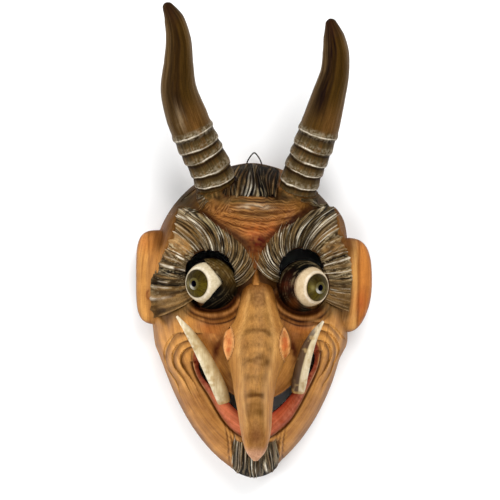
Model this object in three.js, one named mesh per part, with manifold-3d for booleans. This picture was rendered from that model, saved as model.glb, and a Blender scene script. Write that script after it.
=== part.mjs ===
import * as THREE from 'three';
import { ParametricGeometry } from 'three/addons/geometries/ParametricGeometry.js';
import { mergeVertices } from 'three/addons/utils/BufferGeometryUtils.js';
import Module from 'manifold-3d';

// A carved wooden devil mask, lying on its back rim with its face up.
// Millimetres. X runs across the face, Y up the face to the crown and horns, Z out of the face.
// The rim lies in the plane Z = 0, and the origin is in the middle of the whole outline.

const wasm = await Module();
wasm.setup();

// Driving sizes

const GAP = 0.3;
const LEFT = -1;
const RIGHT = 1;
const DEGREE = Math.PI / 180;

// The hollow shell, a dome over an egg-shaped outline.
const SHELL = {
  centreX: -2.6,
  widestY: -40,
  halfWidth: 95,
  crownY: 76,
  chinY: -219,
  poleY: -60,
  height: 88,
  wall: 13,
  fullness: 2.5,
  segments: 50,
  rows: 18,
};
const HOLLOW = { segments: 20, rows: 9 };

// The chin's outline is rounded off by a disc.
const CHIN = { x: 1.5, y: -192.5, radius: 26.5 };

// The outline's two halves are superellipses that meet at the widest height.
const UPPER_OUTLINE = { across: 1.75, along: 2.4 };
const LOWER_OUTLINE = { across: 1.67, along: 1.83 };

// The cheeks sit a little to the left of the chin and the crown.
const CHEEK_LEAN = { y: -85, shift: 1.8, spread: 35 };

const EYES = {
  left: {
    side: LEFT,
    hole: { x: -41.3, y: -29.8, radius: 23.5 },
    lid: { x: -38.8, y: -37.1, z: 76, radius: 23.7 },
    ball: { x: -44.3, y: -37.0, z: 82, radius: 19.1 },
    turnOut: 39,
    turnDown: 2,
  },
  right: {
    side: RIGHT,
    hole: { x: 44.0, y: -26.2, radius: 21.5 },
    lid: { x: 45.2, y: -39.4, z: 76, radius: 23.4 },
    ball: { x: 50.2, y: -40.2, z: 82, radius: 18.7 },
    turnOut: 39,
    turnDown: 4,
  },
};
const PUPIL = { radius: 2.7, depth: 6, ringRadius: 4.6, ringHeight: 0.9 };
const IRIS = { halfAngle: 40, sunk: 0.8 };
const LEFT_OPENING = { x: -28.4, y: -35.7, reach: 50, halfAngle: 46, bulge: 2 };
const RIGHT_OPENING = { x: 57.8, y: -41.5, radius: 21 };
const BALL_SIDES = 13;
const BALL_STEPS = 6;

// The smile is drawn in polar form around a point between the mouth's corners.
const SMILE = { x: 2, y: -105, tilt: 5, outer: 57, pinch: 9, inner: 41, flare: 8 };
const LIP = { thin: 2.5, full: 18.5, height: 5, outline: 1.5 };
const MOUTH_FOLDS = { radii: [12.4, 20, 28], depth: 2.4, width: 3.2, lean: 18, reach: 40 };
const MOUTH_CORNERS = { left: { x: -55, y: -108.5 }, right: { x: 59, y: -102 } };

// Soft swellings of the face: height over the dome and spread, at both sides or in the middle.
const CHEEK = { x: 61, y: -84, height: 9, spread: 20 };
const CHEEK_BONE = { x: 80, y: -92, height: 5, spread: 13 };
const CHEEK_HOLLOW = { x: 40, y: -100, height: -5, spread: 14 };
const CHIN_SWELL = { x: 1.5, y: -197, height: 11, spread: 20 };
const BROW_NOTCH = { x: 2, y: -22, height: -4, spread: 14 };

// Angles around an eye are in degrees from the nose side, over the top, to the temple.
const BROW = {
  height: 9,
  temple: 3,
  edge: 44,
  peak: { angle: 118, spread: 27, height: 28 },
  templeReach: 14,
  sweep: 28,
  firstLock: -12,
  lastLock: 228,
  lockStep: 30,
};
const SOCKET = { depth: 10, radius: 31, bag: 2.2, bagRadius: 30 };
const FOREHEAD = { x: -0.5, crestY: 35, crest: 2.2, wrinkles: [27, 20, 13], depth: 1.3 };
const CROWN_HAIR = { fromY: 40, toY: 71, halfWidth: 21, locks: 4 };
const GOATEE = { fromY: -177, toY: -214, halfWidth: 22, locks: 4, height: 4 };
const LOCK = { sides: 3, rows: 4, width: 8.2, height: 6.6 };

// Each horn's stations: place of the axis and radius, from the seat in the crown to the tip.
const HORNS = {
  left: {
    stations: [
      { x: -32.5, y: 48.5, z: 49, r: 19.4 },
      { x: -39.9, y: 70.3, z: 58, r: 20.0 },
      { x: -50.3, y: 90.5, z: 66, r: 20.4 },
      { x: -62.4, y: 117.5, z: 74, r: 19.8 },
      { x: -69.8, y: 142.0, z: 80, r: 16.8 },
      { x: -69.8, y: 166.0, z: 84, r: 13.6 },
      { x: -69.8, y: 187.0, z: 87, r: 11.7 },
      { x: -73.8, y: 206.0, z: 91, r: 9.2 },
      { x: -81.6, y: 221.0, z: 94, r: 3.6 },
    ],
    rings: [7, 16.5, 29.5, 42, 57.5],
  },
  right: {
    stations: [
      { x: 38.2, y: 43.5, z: 49, r: 18.4 },
      { x: 44.6, y: 66.5, z: 58, r: 19.2 },
      { x: 52.6, y: 86.0, z: 66, r: 19.0 },
      { x: 61.4, y: 110.0, z: 73, r: 18.5 },
      { x: 69.0, y: 136.0, z: 79, r: 15.6 },
      { x: 74.6, y: 158.0, z: 82, r: 13.2 },
      { x: 75.4, y: 176.0, z: 85, r: 12.2 },
      { x: 73.4, y: 191.0, z: 88, r: 9.6 },
      { x: 69.8, y: 206.5, z: 91, r: 3.6 },
    ],
    rings: [7, 20, 32.5, 44.5, 58.5],
  },
};
const HORN_FOOT = { radius: 21.4, flare: 10, length: 22, sunk: 15 };
const HORN_RING = { height: 2.3, width: 3.8, offset: 9 };
// Three quarters of a horn's rows lie in its ringed lower part.
const HORN_ROWS = { ringed: 0.74, length: 0.44 };

// Each tusk's stations run from the seat in the lip to the tip.
const TUSKS = {
  left: [
    { x: -28.2, y: -146.0, z: 76, r: 5.8 },
    { x: -31.4, y: -136.0, z: 83, r: 6.7 },
    { x: -39.0, y: -119.0, z: 90, r: 6.5 },
    { x: -47.4, y: -102.5, z: 93, r: 5.8 },
    { x: -59.1, y: -83.2, z: 95, r: 4.0 },
    { x: -71.0, y: -67.6, z: 95, r: 1.0 },
  ],
  right: [
    { x: 40.8, y: -136.5, z: 76, r: 5.8 },
    { x: 41.8, y: -127.5, z: 83, r: 6.9 },
    { x: 44.8, y: -112.8, z: 90, r: 6.6 },
    { x: 49.8, y: -96.1, z: 93, r: 5.6 },
    { x: 56.6, y: -82.3, z: 95, r: 3.6 },
    { x: 63.6, y: -72.2, z: 95, r: 1.0 },
  ],
};

// The nose's stations down the face: half width, front and back of each section.
const NOSE = [
  { x: 3.1, y: -36.5, half: 6.5, front: 83, back: 78 },
  { x: 3.1, y: -43.0, half: 12.5, front: 88, back: 78 },
  { x: 3.5, y: -56.0, half: 18.5, front: 96, back: 78.5 },
  { x: 3.4, y: -71.0, half: 22.5, front: 105, back: 79 },
  { x: 2.6, y: -84.0, half: 29.0, front: 114, back: 79 },
  { x: 2.2, y: -98.0, half: 30.0, front: 122, back: 79 },
  { x: 1.6, y: -111.0, half: 26.5, front: 128, back: 79 },
  { x: 0.6, y: -125.0, half: 22.5, front: 133, back: 81 },
  { x: 0.2, y: -138.0, half: 20.0, front: 135, back: 92 },
  { x: 0.8, y: -154.0, half: 17.2, front: 134, back: 101 },
  { x: 1.5, y: -170.0, half: 15.0, front: 130, back: 102 },
  { x: 1.6, y: -182.0, half: 12.2, front: 126, back: 103 },
  { x: 1.5, y: -192.0, half: 8.2, front: 121, back: 105 },
  { x: 1.3, y: -199.4, half: 2.0, front: 115, back: 111 },
];
const NOSE_BAND = 0.5;
const NOSTRIL = { x: 2.5, reach: 30.5, y: -93.8, z: 84, height: 38, width: 9, depth: 9, turn: 35 };

const EARS = {
  left: { side: LEFT, x: -84, y: -32.2, square: 4.2, taper: 0 },
  right: { side: RIGHT, x: 84, y: -39.5, square: 3.2, taper: 0.3 },
};

const EAR = { width: 27, height: 44.4, z: 32, half: 14, hollow: 3.5, lean: 5 };

const WIRE = { radius: 0.65, z: 9, apexY: 85.4, footY: 76, spread: 6.6, sunk: 9 };

// Small formulas

const clamp = (value) => Math.min(1, Math.max(0, value));

const ease = (from, to, value) => {
  const t = clamp((value - from) / (to - from));
  return t * t * (3 - 2 * t);
};

const bell = (value, width) => Math.exp(-((value / width) ** 2));

const swelling = (x, y, form) => form.height * bell(Math.hypot(x - form.x, y - form.y), form.spread);

const power = (value, exponent) => Math.sign(value) * Math.abs(value) ** exponent;

// Solids and meshes

function solidOf(geometry) {
  const bare = geometry.clone();
  for (const name of Object.keys(bare.attributes)) {
    if (name !== 'position') {
      bare.deleteAttribute(name);
    }
  }
  const merged = mergeVertices(bare, 1e-4);
  const source = merged.index.array;
  const corners = [];
  for (let i = 0; i < source.length; i += 3) {
    const [a, b, c] = [source[i], source[i + 1], source[i + 2]];
    if (a !== b && b !== c && c !== a) {
      corners.push(a, b, c);
    }
  }
  const points = merged.attributes.position.array;
  if (signedVolume(points, corners) < 0) {
    corners.reverse();
  }
  return new wasm.Manifold(new wasm.Mesh({
    numProp: 3,
    vertProperties: new Float32Array(points),
    triVerts: new Uint32Array(corners),
  }));
}

function signedVolume(points, corners) {
  const a = new THREE.Vector3();
  const b = new THREE.Vector3();
  const c = new THREE.Vector3();
  let sum = 0;
  for (let i = 0; i < corners.length; i += 3) {
    a.fromArray(points, 3 * corners[i]);
    b.fromArray(points, 3 * corners[i + 1]);
    c.fromArray(points, 3 * corners[i + 2]);
    sum += a.dot(b.cross(c)) / 6;
  }
  return sum;
}

function meshOf(name, solid, material) {
  const { vertProperties, triVerts } = solid.getMesh();
  const geometry = new THREE.BufferGeometry();
  geometry.setAttribute('position', new THREE.BufferAttribute(vertProperties, 3));
  geometry.setIndex(new THREE.BufferAttribute(triVerts, 1));
  geometry.computeVertexNormals();
  const mesh = new THREE.Mesh(geometry, material);
  mesh.name = name;
  return mesh;
}

// The face outline

function outlineTerm(x, y) {
  const upper = y > SHELL.widestY;
  const shape = upper ? UPPER_OUTLINE : LOWER_OUTLINE;
  const reach = upper ? SHELL.crownY - SHELL.widestY : SHELL.widestY - SHELL.chinY;
  const lean = CHEEK_LEAN.shift * bell(y - CHEEK_LEAN.y, CHEEK_LEAN.spread);
  const across = Math.abs(x + lean - SHELL.centreX) / SHELL.halfWidth;
  const along = Math.abs(y - SHELL.widestY) / reach;
  const egg = across ** shape.across + along ** shape.along;
  const chin = Math.hypot(x - CHIN.x, y - CHIN.y) / CHIN.radius;
  return Math.min(egg, chin);
}

function outlineRadius(angle, inset) {
  let near = 0;
  let far = 300;
  for (let step = 0; step < 30; step += 1) {
    const middle = (near + far) / 2;
    const x = SHELL.centreX + middle * Math.cos(angle);
    const y = SHELL.poleY + middle * Math.sin(angle);
    if (outlineTerm(x, y) < 1) {
      near = middle;
    } else {
      far = middle;
    }
  }
  return near - inset;
}

// The smooth dome without carving, as a place and the direction that faces out of it.

function domePoint(angle, s, inset) {
  const radius = outlineRadius(angle, inset);
  const plan = Math.sin(s * Math.PI / 2) ** (2 / SHELL.fullness);
  const rise = Math.max(0, Math.cos(s * Math.PI / 2)) ** (2 / SHELL.fullness);
  const height = SHELL.height - inset;
  const place = new THREE.Vector3(
    SHELL.centreX + radius * plan * Math.cos(angle),
    SHELL.poleY + radius * plan * Math.sin(angle),
    height * rise,
  );
  const slope = plan ** (SHELL.fullness - 1) / radius;
  const facing = new THREE.Vector3(
    slope * Math.cos(angle),
    slope * Math.sin(angle),
    rise ** (SHELL.fullness - 1) / height,
  ).normalize();
  return { place, facing };
}

// Carving, as heights over the dome for a place on the face

function aroundEye(x, y, eye) {
  const inward = -eye.side * (x - eye.hole.x);
  const up = y - eye.hole.y;
  let angle = Math.atan2(up, inward) / DEGREE;
  if (angle < -90) {
    angle += 360;
  }
  return { r: Math.hypot(inward, up), angle };
}

function browEdge(angle) {
  const { peak } = BROW;
  const swept = peak.height * bell(angle - peak.angle, peak.spread);
  return BROW.edge + swept + BROW.templeReach * ease(130, 180, angle);
}

function browAt(x, y, eye) {
  const { r, angle } = aroundEye(x, y, eye);
  const arch = ease(-30, 20, angle) * (1 - ease(125, 165, angle));
  const temple = ease(120, 160, angle) * (1 - ease(228, 245, angle));
  const nose = 0.35 * ease(-45, -20, angle) * (1 - ease(-10, 20, angle));
  const edge = browEdge(angle);
  const inside = 1 - ease(edge - 12, edge + 2, r);
  return inside * (BROW.height * (arch + nose) + BROW.temple * temple);
}

function socketAt(x, y, eye) {
  const reach = Math.hypot(x - eye.lid.x, y - eye.lid.y);
  const { angle } = aroundEye(x, y, eye);
  const lower = 1 - 0.85 * ease(-20, 25, angle) * (1 - ease(165, 215, angle));
  const bag = SOCKET.bag * bell(reach - SOCKET.bagRadius, 3.5) * ease(205, 235, angle);
  return lower * (bag - SOCKET.depth * Math.exp(-((reach / SOCKET.radius) ** 4)));
}

function smileAt(x, y) {
  const dx = x - SMILE.x;
  const dy = SMILE.y - y;
  const raw = Math.atan2(dx, dy);
  const angle = raw - SMILE.tilt * DEGREE * Math.sin(raw) ** 2;
  return { r: Math.hypot(dx, dy), angle };
}

const mouthOuter = (angle) => SMILE.outer - SMILE.pinch * Math.sin(2 * angle) ** 2;
const mouthInner = (angle) => SMILE.inner + SMILE.flare * (1 - Math.cos(angle)) ** 2;
const lipOuter = (angle) => mouthOuter(angle) + LIP.thin + LIP.full * Math.cos(angle) ** 2;

function lipAt(x, y) {
  const { r, angle } = smileAt(x, y);
  if (Math.abs(angle) > Math.PI / 2) {
    return 0;
  }
  const from = mouthOuter(angle) - 3;
  const to = lipOuter(angle);
  const across = clamp((r - from) / (to - from));
  return LIP.height * Math.sin(Math.PI * across) ** 0.7 - LIP.outline * bell(r - to, 2.5);
}

function segmentDistance(x, y, a, b) {
  const dx = b.x - a.x;
  const dy = b.y - a.y;
  const t = clamp(((x - a.x) * dx + (y - a.y) * dy) / (dx * dx + dy * dy));
  return { distance: Math.hypot(x - a.x - t * dx, y - a.y - t * dy), t };
}

function foldsAt(x, y, side) {
  const corner = side === LEFT ? MOUTH_CORNERS.left : MOUTH_CORNERS.right;
  const along = { x: corner.x - MOUTH_FOLDS.lean * side, y: corner.y - MOUTH_FOLDS.reach };
  const { distance, t } = segmentDistance(x, y, corner, along);
  const outward = side * (x - corner.x) + 0.45 * (y - corner.y);
  const shown = ease(-4, 8, outward) * (1 - ease(0.35, 0.95, t));
  let height = 0;
  for (const radius of MOUTH_FOLDS.radii) {
    height -= MOUTH_FOLDS.depth * bell(distance - radius, MOUTH_FOLDS.width);
    height += 0.5 * MOUTH_FOLDS.depth * bell(distance - radius - 4, MOUTH_FOLDS.width);
  }
  return height * shown;
}

function foreheadAt(x, y) {
  const across = x - FOREHEAD.x;
  const reach = 1 - ease(18, 44, Math.abs(across));
  const sag = across * across / 190;
  let height = FOREHEAD.crest * bell(y - FOREHEAD.crestY + across * across / 260, 3.5);
  for (const level of FOREHEAD.wrinkles) {
    height -= FOREHEAD.depth * bell(y - level - sag, 2.2);
  }
  return height * reach;
}

function goateeAt(x, y) {
  const half = GOATEE.halfWidth * (0.75 + 0.25 * ease(GOATEE.fromY, SHELL.chinY, y));
  const shown = (1 - ease(GOATEE.fromY - 7, GOATEE.fromY + 2, y))
    * (1 - ease(half - 3, half + 3, Math.abs(x - 1.5)));
  return shown * GOATEE.height;
}

// How far the carving stands out of the dome at a place on the face.
function carvingAt(x, y) {
  let height = 0;
  for (const eye of Object.values(EYES)) {
    height += browAt(x, y, eye) + socketAt(x, y, eye);
    height += foldsAt(x, y, eye.side);
    for (const form of [CHEEK, CHEEK_BONE, CHEEK_HOLLOW]) {
      height += swelling(eye.side * x, y, form);
    }
  }
  height += lipAt(x, y) + foreheadAt(x, y) + goateeAt(x, y);
  return height + swelling(x, y, CHIN_SWELL) + swelling(x, y, BROW_NOTCH);
}

// The angles crowd towards the brows, where the carving is finest.
const spreadAngle = (u) => 2 * Math.PI * (u + 0.035 * Math.cos(2 * Math.PI * u));

function outerPoint(u, v, target) {
  const s = clamp(v * (SHELL.rows + 1) / SHELL.rows) ** 0.88;
  const angle = spreadAngle(u);
  if (v >= 1) {
    return target.set(SHELL.centreX, SHELL.poleY, 0);
  }
  const { place, facing } = domePoint(angle, s, 0);
  const height = carvingAt(place.x, place.y) * (1 - ease(0.86, 0.98, s));
  facing.set(0.5 * facing.x, 0.5 * facing.y, facing.z + 0.35).normalize();
  return target.copy(place).addScaledVector(facing, height);
}

// The height of the carved face over the rim at a place on the face.
function surfaceAt(x, y) {
  const angle = Math.atan2(y - SHELL.poleY, x - SHELL.centreX);
  const plan = Math.hypot(y - SHELL.poleY, x - SHELL.centreX) / outlineRadius(angle, 0);
  const rise = Math.max(0, 1 - plan ** SHELL.fullness) ** (1 / SHELL.fullness);
  return SHELL.height * rise + carvingAt(x, y) * (1 - ease(0.8, 1, plan));
}

// A lock of hair is a ridge along a line on the face, pointed at its far end.
function lockSolid(line) {
  const stations = line.map(({ x, y }, index) => {
    const part = index / (line.length - 1);
    const r = LOCK.width * (0.75 + 0.9 * part * (1 - part)) * (1 - ease(0.55, 1.1, part));
    return { x, y, z: Math.max(r + 4, surfaceAt(x, y) - 0.25 * r), r };
  });
  const shape = (turn) => ({
    across: -Math.sin(turn),
    above: Math.cos(turn) * LOCK.height / LOCK.width,
  });
  return taperedSolid(stations, LOCK.sides, LOCK.rows, shape, 0);
}

// The brow's locks sweep out from the edge of the eye hole and fan out over the temple.
function browLocks(eye) {
  const locks = [];
  for (let start = BROW.firstLock; start <= BROW.lastLock; start += BROW.lockStep) {
    const twist = 30 - 0.29 * (start - 60);
    const end = start + twist;
    const from = eye.hole.radius + (start > 165 ? 8 : 2.5);
    const to = browEdge(end) * (start > 165 ? 0.98 : 0.94);
    const line = [0, 0.33, 0.67, 1].map((part) => {
      const r = THREE.MathUtils.lerp(from, to, part);
      const angle = (start + twist * (r - from) / BROW.sweep) * DEGREE;
      return {
        x: eye.hole.x - eye.side * r * Math.cos(angle),
        y: eye.hole.y + r * Math.sin(angle),
      };
    });
    locks.push(lockSolid(line));
  }
  return locks;
}

function straightLocks(hair, centreX, wobble) {
  const locks = [];
  for (let index = 0; index < hair.locks; index += 1) {
    const side = 2 * index / (hair.locks - 1) - 1;
    const x = centreX + hair.halfWidth * side;
    const line = [0, 0.33, 0.67, 1].map((part) => ({
      x: x + wobble * Math.sin(5 * part + index) - 3 * side * part,
      y: THREE.MathUtils.lerp(hair.fromY, hair.toY, part) + 8 * side * side * (1 - part),
    }));
    locks.push(lockSolid(line));
  }
  return locks;
}

function hairLocks() {
  return [
    ...browLocks(EYES.left),
    ...browLocks(EYES.right),
    ...straightLocks(CROWN_HAIR, 1.5, 1.5),
    ...straightLocks(GOATEE, 1.5, 0.8),
  ];
}

// The hollow: a dome inside the wall, carried down through the rim plane and closed below it.
function innerPoint(u, v, target) {
  const below = -4;
  if (v >= 1) {
    return target.set(SHELL.centreX, SHELL.poleY, below);
  }
  const s = v * HOLLOW.rows / (HOLLOW.rows - 2);
  const { place } = domePoint(2 * Math.PI * u, Math.min(1, s), SHELL.wall);
  return target.copy(place).setZ(s > 1.01 ? below : place.z);
}

// Ears are thick slabs with a square outline and a hollow behind the rim.

function earSolid(ear) {
  const point = (u, v, target) => {
    const turn = 2 * Math.PI * u;
    const around = {
      x: power(Math.cos(turn), 2 / ear.square),
      y: power(Math.sin(turn), 2 / ear.square),
    };
    const tilt = Math.PI * v;
    const plan = Math.sin(tilt) ** 0.5;
    const front = power(Math.cos(tilt), 0.7);
    const up = around.y * plan;
    const narrow = 1 - ear.taper * clamp(-up) ** 1.6;
    const hollow = front > 0 ? EAR.hollow * bell(plan - 0.62, 0.16) : 0;
    return target.set(
      ear.x + ear.side * EAR.width * around.x * plan * narrow,
      ear.y + EAR.height * up,
      EAR.z + EAR.half * front - hollow - EAR.lean * clamp(around.x * plan),
    );
  };
  return solidOf(new ParametricGeometry(point, 12, 7));
}

// A round body along a smooth line of stations, closed at both ends.

function taperedSolid(stations, around, along, shape, grow, crowd = (part) => part) {
  const path = new THREE.CatmullRomCurve3(
    stations.map((station) => new THREE.Vector3(station.x, station.y, station.z)),
  );
  const length = path.getLength();
  const radiusAt = (t) => {
    const place = t * (stations.length - 1);
    const index = Math.min(stations.length - 2, Math.floor(place));
    const part = place - index;
    return THREE.MathUtils.lerp(stations[index].r, stations[index + 1].r, part);
  };
  const point = (u, v, target) => {
    const t = crowd(clamp((v * (along + 2) - 1) / along));
    const centre = path.getPoint(t);
    const ahead = path.getTangent(t);
    const across = new THREE.Vector3(0, 0, 1).cross(ahead).normalize();
    const above = ahead.clone().cross(across);
    const travelled = t * length;
    const ends = v <= 0 || v >= 1 ? 0 : 1;
    const radius = ends * (radiusAt(t) + grow);
    const turn = 2 * Math.PI * u;
    const section = shape(turn, travelled);
    target.copy(centre);
    target.addScaledVector(across, radius * section.across);
    target.addScaledVector(above, radius * section.above);
    if (t <= 0) {
      target.addScaledVector(ahead, -grow);
    }
    return target;
  };
  return solidOf(new ParametricGeometry(point, around, along + 2));
}

function hornSolid(horn, grow = 0) {
  const shape = (turn, travelled) => {
    let ring = 0;
    for (const place of horn.rings) {
      ring += HORN_RING.height * bell(travelled - place - HORN_RING.offset, HORN_RING.width);
    }
    const swell = 1 + ring / horn.stations[0].r;
    return { across: swell * Math.cos(turn), above: 0.94 * swell * Math.sin(turn) };
  };
  const { ringed, length } = HORN_ROWS;
  const crowd = (part) => (part < ringed
    ? length * part / ringed
    : length + (1 - length) * (part - ringed) / (1 - ringed));
  return taperedSolid(horn.stations, 10, 31, shape, grow, crowd);
}

// The crown rises in a short flared foot around each horn.
function hornFootSolid(horn) {
  const [seat, next] = horn.stations;
  const start = new THREE.Vector3(seat.x, seat.y, seat.z);
  const ahead = new THREE.Vector3(next.x, next.y, next.z).sub(start).normalize();
  const point = (u, v, target) => {
    const turn = 2 * Math.PI * u;
    const across = new THREE.Vector3(0, 0, 1).cross(ahead).normalize();
    const above = ahead.clone().cross(across);
    const travelled = clamp((v - 0.15) / 0.7) * HORN_FOOT.length;
    const flare = HORN_FOOT.flare * (1 - travelled / HORN_FOOT.length) ** 1.8;
    const radius = v <= 0 || v >= 1 ? 0 : HORN_FOOT.radius + flare;
    target.copy(start).addScaledVector(ahead, travelled - HORN_FOOT.sunk);
    target.addScaledVector(across, radius * Math.cos(turn));
    target.addScaledVector(above, radius * Math.sin(turn));
    return target;
  };
  return solidOf(new ParametricGeometry(point, 16, 6));
}

function tuskSolid(stations, grow = 0) {
  const shape = (turn) => {
    const edge = 1 + 0.12 * Math.cos(3 * turn - Math.PI / 2);
    return { across: edge * Math.cos(turn), above: edge * Math.sin(turn) };
  };
  return taperedSolid(stations, 7, 8, shape, grow);
}

// The nose is a loft of rounded sections with a flat band down its front.

function noseSolid(grow = 0) {
  const rows = NOSE.length - 1;
  const middles = NOSE.map((row) => new THREE.Vector3(row.x, row.y, row.half));
  const depths = NOSE.map((row) => new THREE.Vector3(row.front, row.y, row.back));
  const curve = new THREE.CatmullRomCurve3(middles);
  const depth = new THREE.CatmullRomCurve3(depths);
  const stacks = 16;
  const point = (u, v, target) => {
    const t = clamp((v * (stacks + 2) - 1) / stacks);
    const plan = curve.getPoint(t);
    const reach = depth.getPoint(t);
    const ends = v <= 0 || v >= 1 ? 0 : 1;
    const turn = 2 * Math.PI * u;
    const side = power(Math.cos(turn), 0.8);
    const rise = 0.5 + 0.5 * power(Math.sin(turn), 0.8);
    const banded = ease(0.15, 1, rise) * (1 - ease(8, 12, t * rows));
    const narrow = THREE.MathUtils.lerp(1, NOSE_BAND, banded);
    const back = reach.z - grow;
    const front = reach.x + grow;
    const middle = (front + back) / 2;
    const z = THREE.MathUtils.lerp(back, front, rise);
    return target.set(
      plan.x + ends * side * narrow * (plan.z + grow),
      plan.y + (t <= 0 ? grow : 0),
      ends ? z : middle,
    );
  };
  return solidOf(new ParametricGeometry(point, 14, stacks + 2));
}

function nostrilCutter(side) {
  const cutter = new THREE.SphereGeometry(1, 10, 6);
  cutter.scale(NOSTRIL.width / 2, NOSTRIL.height / 2, NOSTRIL.depth);
  cutter.rotateY(side * NOSTRIL.turn * DEGREE);
  cutter.translate(NOSTRIL.x + side * NOSTRIL.reach, NOSTRIL.y, NOSTRIL.z);
  return solidOf(cutter);
}

// Eyes

function gazeOf(eye) {
  const out = eye.turnOut * DEGREE;
  const down = eye.turnDown * DEGREE;
  return new THREE.Vector3(
    eye.side * Math.sin(out) * Math.cos(down),
    -Math.sin(down),
    Math.cos(out) * Math.cos(down),
  );
}

function turnToGaze(geometry, eye) {
  const turn = new THREE.Quaternion().setFromUnitVectors(new THREE.Vector3(0, 1, 0), gazeOf(eye));
  geometry.applyQuaternion(turn);
  geometry.translate(eye.ball.x, eye.ball.y, eye.ball.z);
  return geometry;
}

// A ball's outline from its back to the rim of the iris.
function ballProfile(radius) {
  const profile = [new THREE.Vector2(0, -radius)];
  const rimAngle = IRIS.halfAngle * DEGREE;
  for (let step = 1; step <= BALL_STEPS; step += 1) {
    const angle = Math.PI - step * (Math.PI - rimAngle) / BALL_STEPS;
    profile.push(new THREE.Vector2(radius * Math.sin(angle), radius * Math.cos(angle)));
  }
  return profile;
}

// The ball is turned: a sphere with a sunk iris, a raised ring and a drilled pupil.
function ballSolid(eye) {
  const { radius } = eye.ball;
  const rimAngle = IRIS.halfAngle * DEGREE;
  const profile = ballProfile(radius);
  const sunk = radius - IRIS.sunk;
  profile.push(new THREE.Vector2(sunk * Math.sin(rimAngle * 0.95), sunk * Math.cos(rimAngle * 0.95)));
  profile.push(new THREE.Vector2(sunk * Math.sin(rimAngle * 0.6), sunk * Math.cos(rimAngle * 0.6)));
  const ringTop = sunk * Math.cos(PUPIL.ringRadius / sunk) + PUPIL.ringHeight;
  profile.push(new THREE.Vector2(PUPIL.ringRadius, ringTop - PUPIL.ringHeight));
  profile.push(new THREE.Vector2((PUPIL.ringRadius + PUPIL.radius) / 2, ringTop));
  profile.push(new THREE.Vector2(PUPIL.radius, ringTop - 0.4));
  profile.push(new THREE.Vector2(PUPIL.radius, ringTop - PUPIL.depth));
  profile.push(new THREE.Vector2(0, ringTop - PUPIL.depth));
  return solidOf(turnToGaze(new THREE.LatheGeometry(profile, BALL_SIDES), eye));
}

function socketCutter(eye) {
  const radius = eye.ball.radius + GAP;
  const profile = ballProfile(radius);
  profile.push(new THREE.Vector2(0, radius));
  return solidOf(turnToGaze(new THREE.LatheGeometry(profile, BALL_SIDES), eye));
}

function uprightCylinder(x, y, radius, bottom, top, sides = 20) {
  const cylinder = new THREE.CylinderGeometry(radius, radius, top - bottom, sides);
  cylinder.rotateX(Math.PI / 2);
  cylinder.translate(x, y, (top + bottom) / 2);
  return solidOf(cylinder);
}

// A lid is a ball-shaped swelling on a short stem, opened in front of the eye.
function lidSolid(eye) {
  const { x, y, z, radius } = eye.lid;
  const dome = new THREE.SphereGeometry(radius, 14, 9);
  dome.translate(x, y, z);
  const stem = uprightCylinder(x, y, radius, z - 14, z, 14);
  const opening = eye.side === LEFT ? pointedOpening(eye) : roundOpening(eye);
  return solidOf(dome).add(stem).subtract(opening);
}

// What lies in front of the ball's back half is open.
function frontOfBall(eye) {
  const depth = 60;
  const behindMiddle = 4;
  const block = new THREE.BoxGeometry(90, depth, 90);
  block.translate(0, depth / 2 - behindMiddle, 0);
  return solidOf(turnToGaze(block, eye));
}

function pointedOpening(eye) {
  const { x, y, reach, halfAngle, bulge } = LEFT_OPENING;
  const rise = reach * Math.tan(halfAngle * DEGREE);
  const outline = new THREE.Shape([
    new THREE.Vector2(x, y),
    new THREE.Vector2(x - reach / 2, y + rise / 2 + bulge),
    new THREE.Vector2(x - reach, y + rise),
    new THREE.Vector2(x - reach, y - rise),
    new THREE.Vector2(x - reach / 2, y - rise / 2 - bulge),
  ]);
  const prism = new THREE.ExtrudeGeometry(outline, { depth: 70, bevelEnabled: false });
  prism.translate(0, 0, 45);
  return solidOf(prism).intersect(frontOfBall(eye));
}

function roundOpening(eye) {
  const { x, y, radius } = RIGHT_OPENING;
  return uprightCylinder(x, y, radius, 45, 115, 24).intersect(frontOfBall(eye));
}

// The opening of the mouth, with pinched round corners.
function mouthCutter() {
  const reach = 89 * DEGREE;
  const steps = 16;
  const edge = (angle, sign) => {
    const middle = (mouthOuter(angle) + mouthInner(angle)) / 2;
    const half = (mouthOuter(angle) - mouthInner(angle)) / 2;
    const r = middle + sign * half * Math.sqrt(1 - Math.abs(angle / reach) ** 5);
    const turned = angle + SMILE.tilt * DEGREE * Math.sin(angle) ** 2;
    return new THREE.Vector2(SMILE.x + r * Math.sin(turned), SMILE.y - r * Math.cos(turned));
  };
  const points = [];
  for (let step = 0; step <= steps; step += 1) {
    points.push(edge(reach * (2 * step / steps - 1), 1));
  }
  for (let step = steps - 1; step > 0; step -= 1) {
    points.push(edge(reach * (2 * step / steps - 1), -1));
  }
  const prism = new THREE.ExtrudeGeometry(new THREE.Shape(points), { depth: 90, bevelEnabled: false });
  prism.translate(0, 0, 20);
  return solidOf(prism);
}

// The wire loop: two legs sunk in the top edge of the crown, bent to a point between them.

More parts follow.
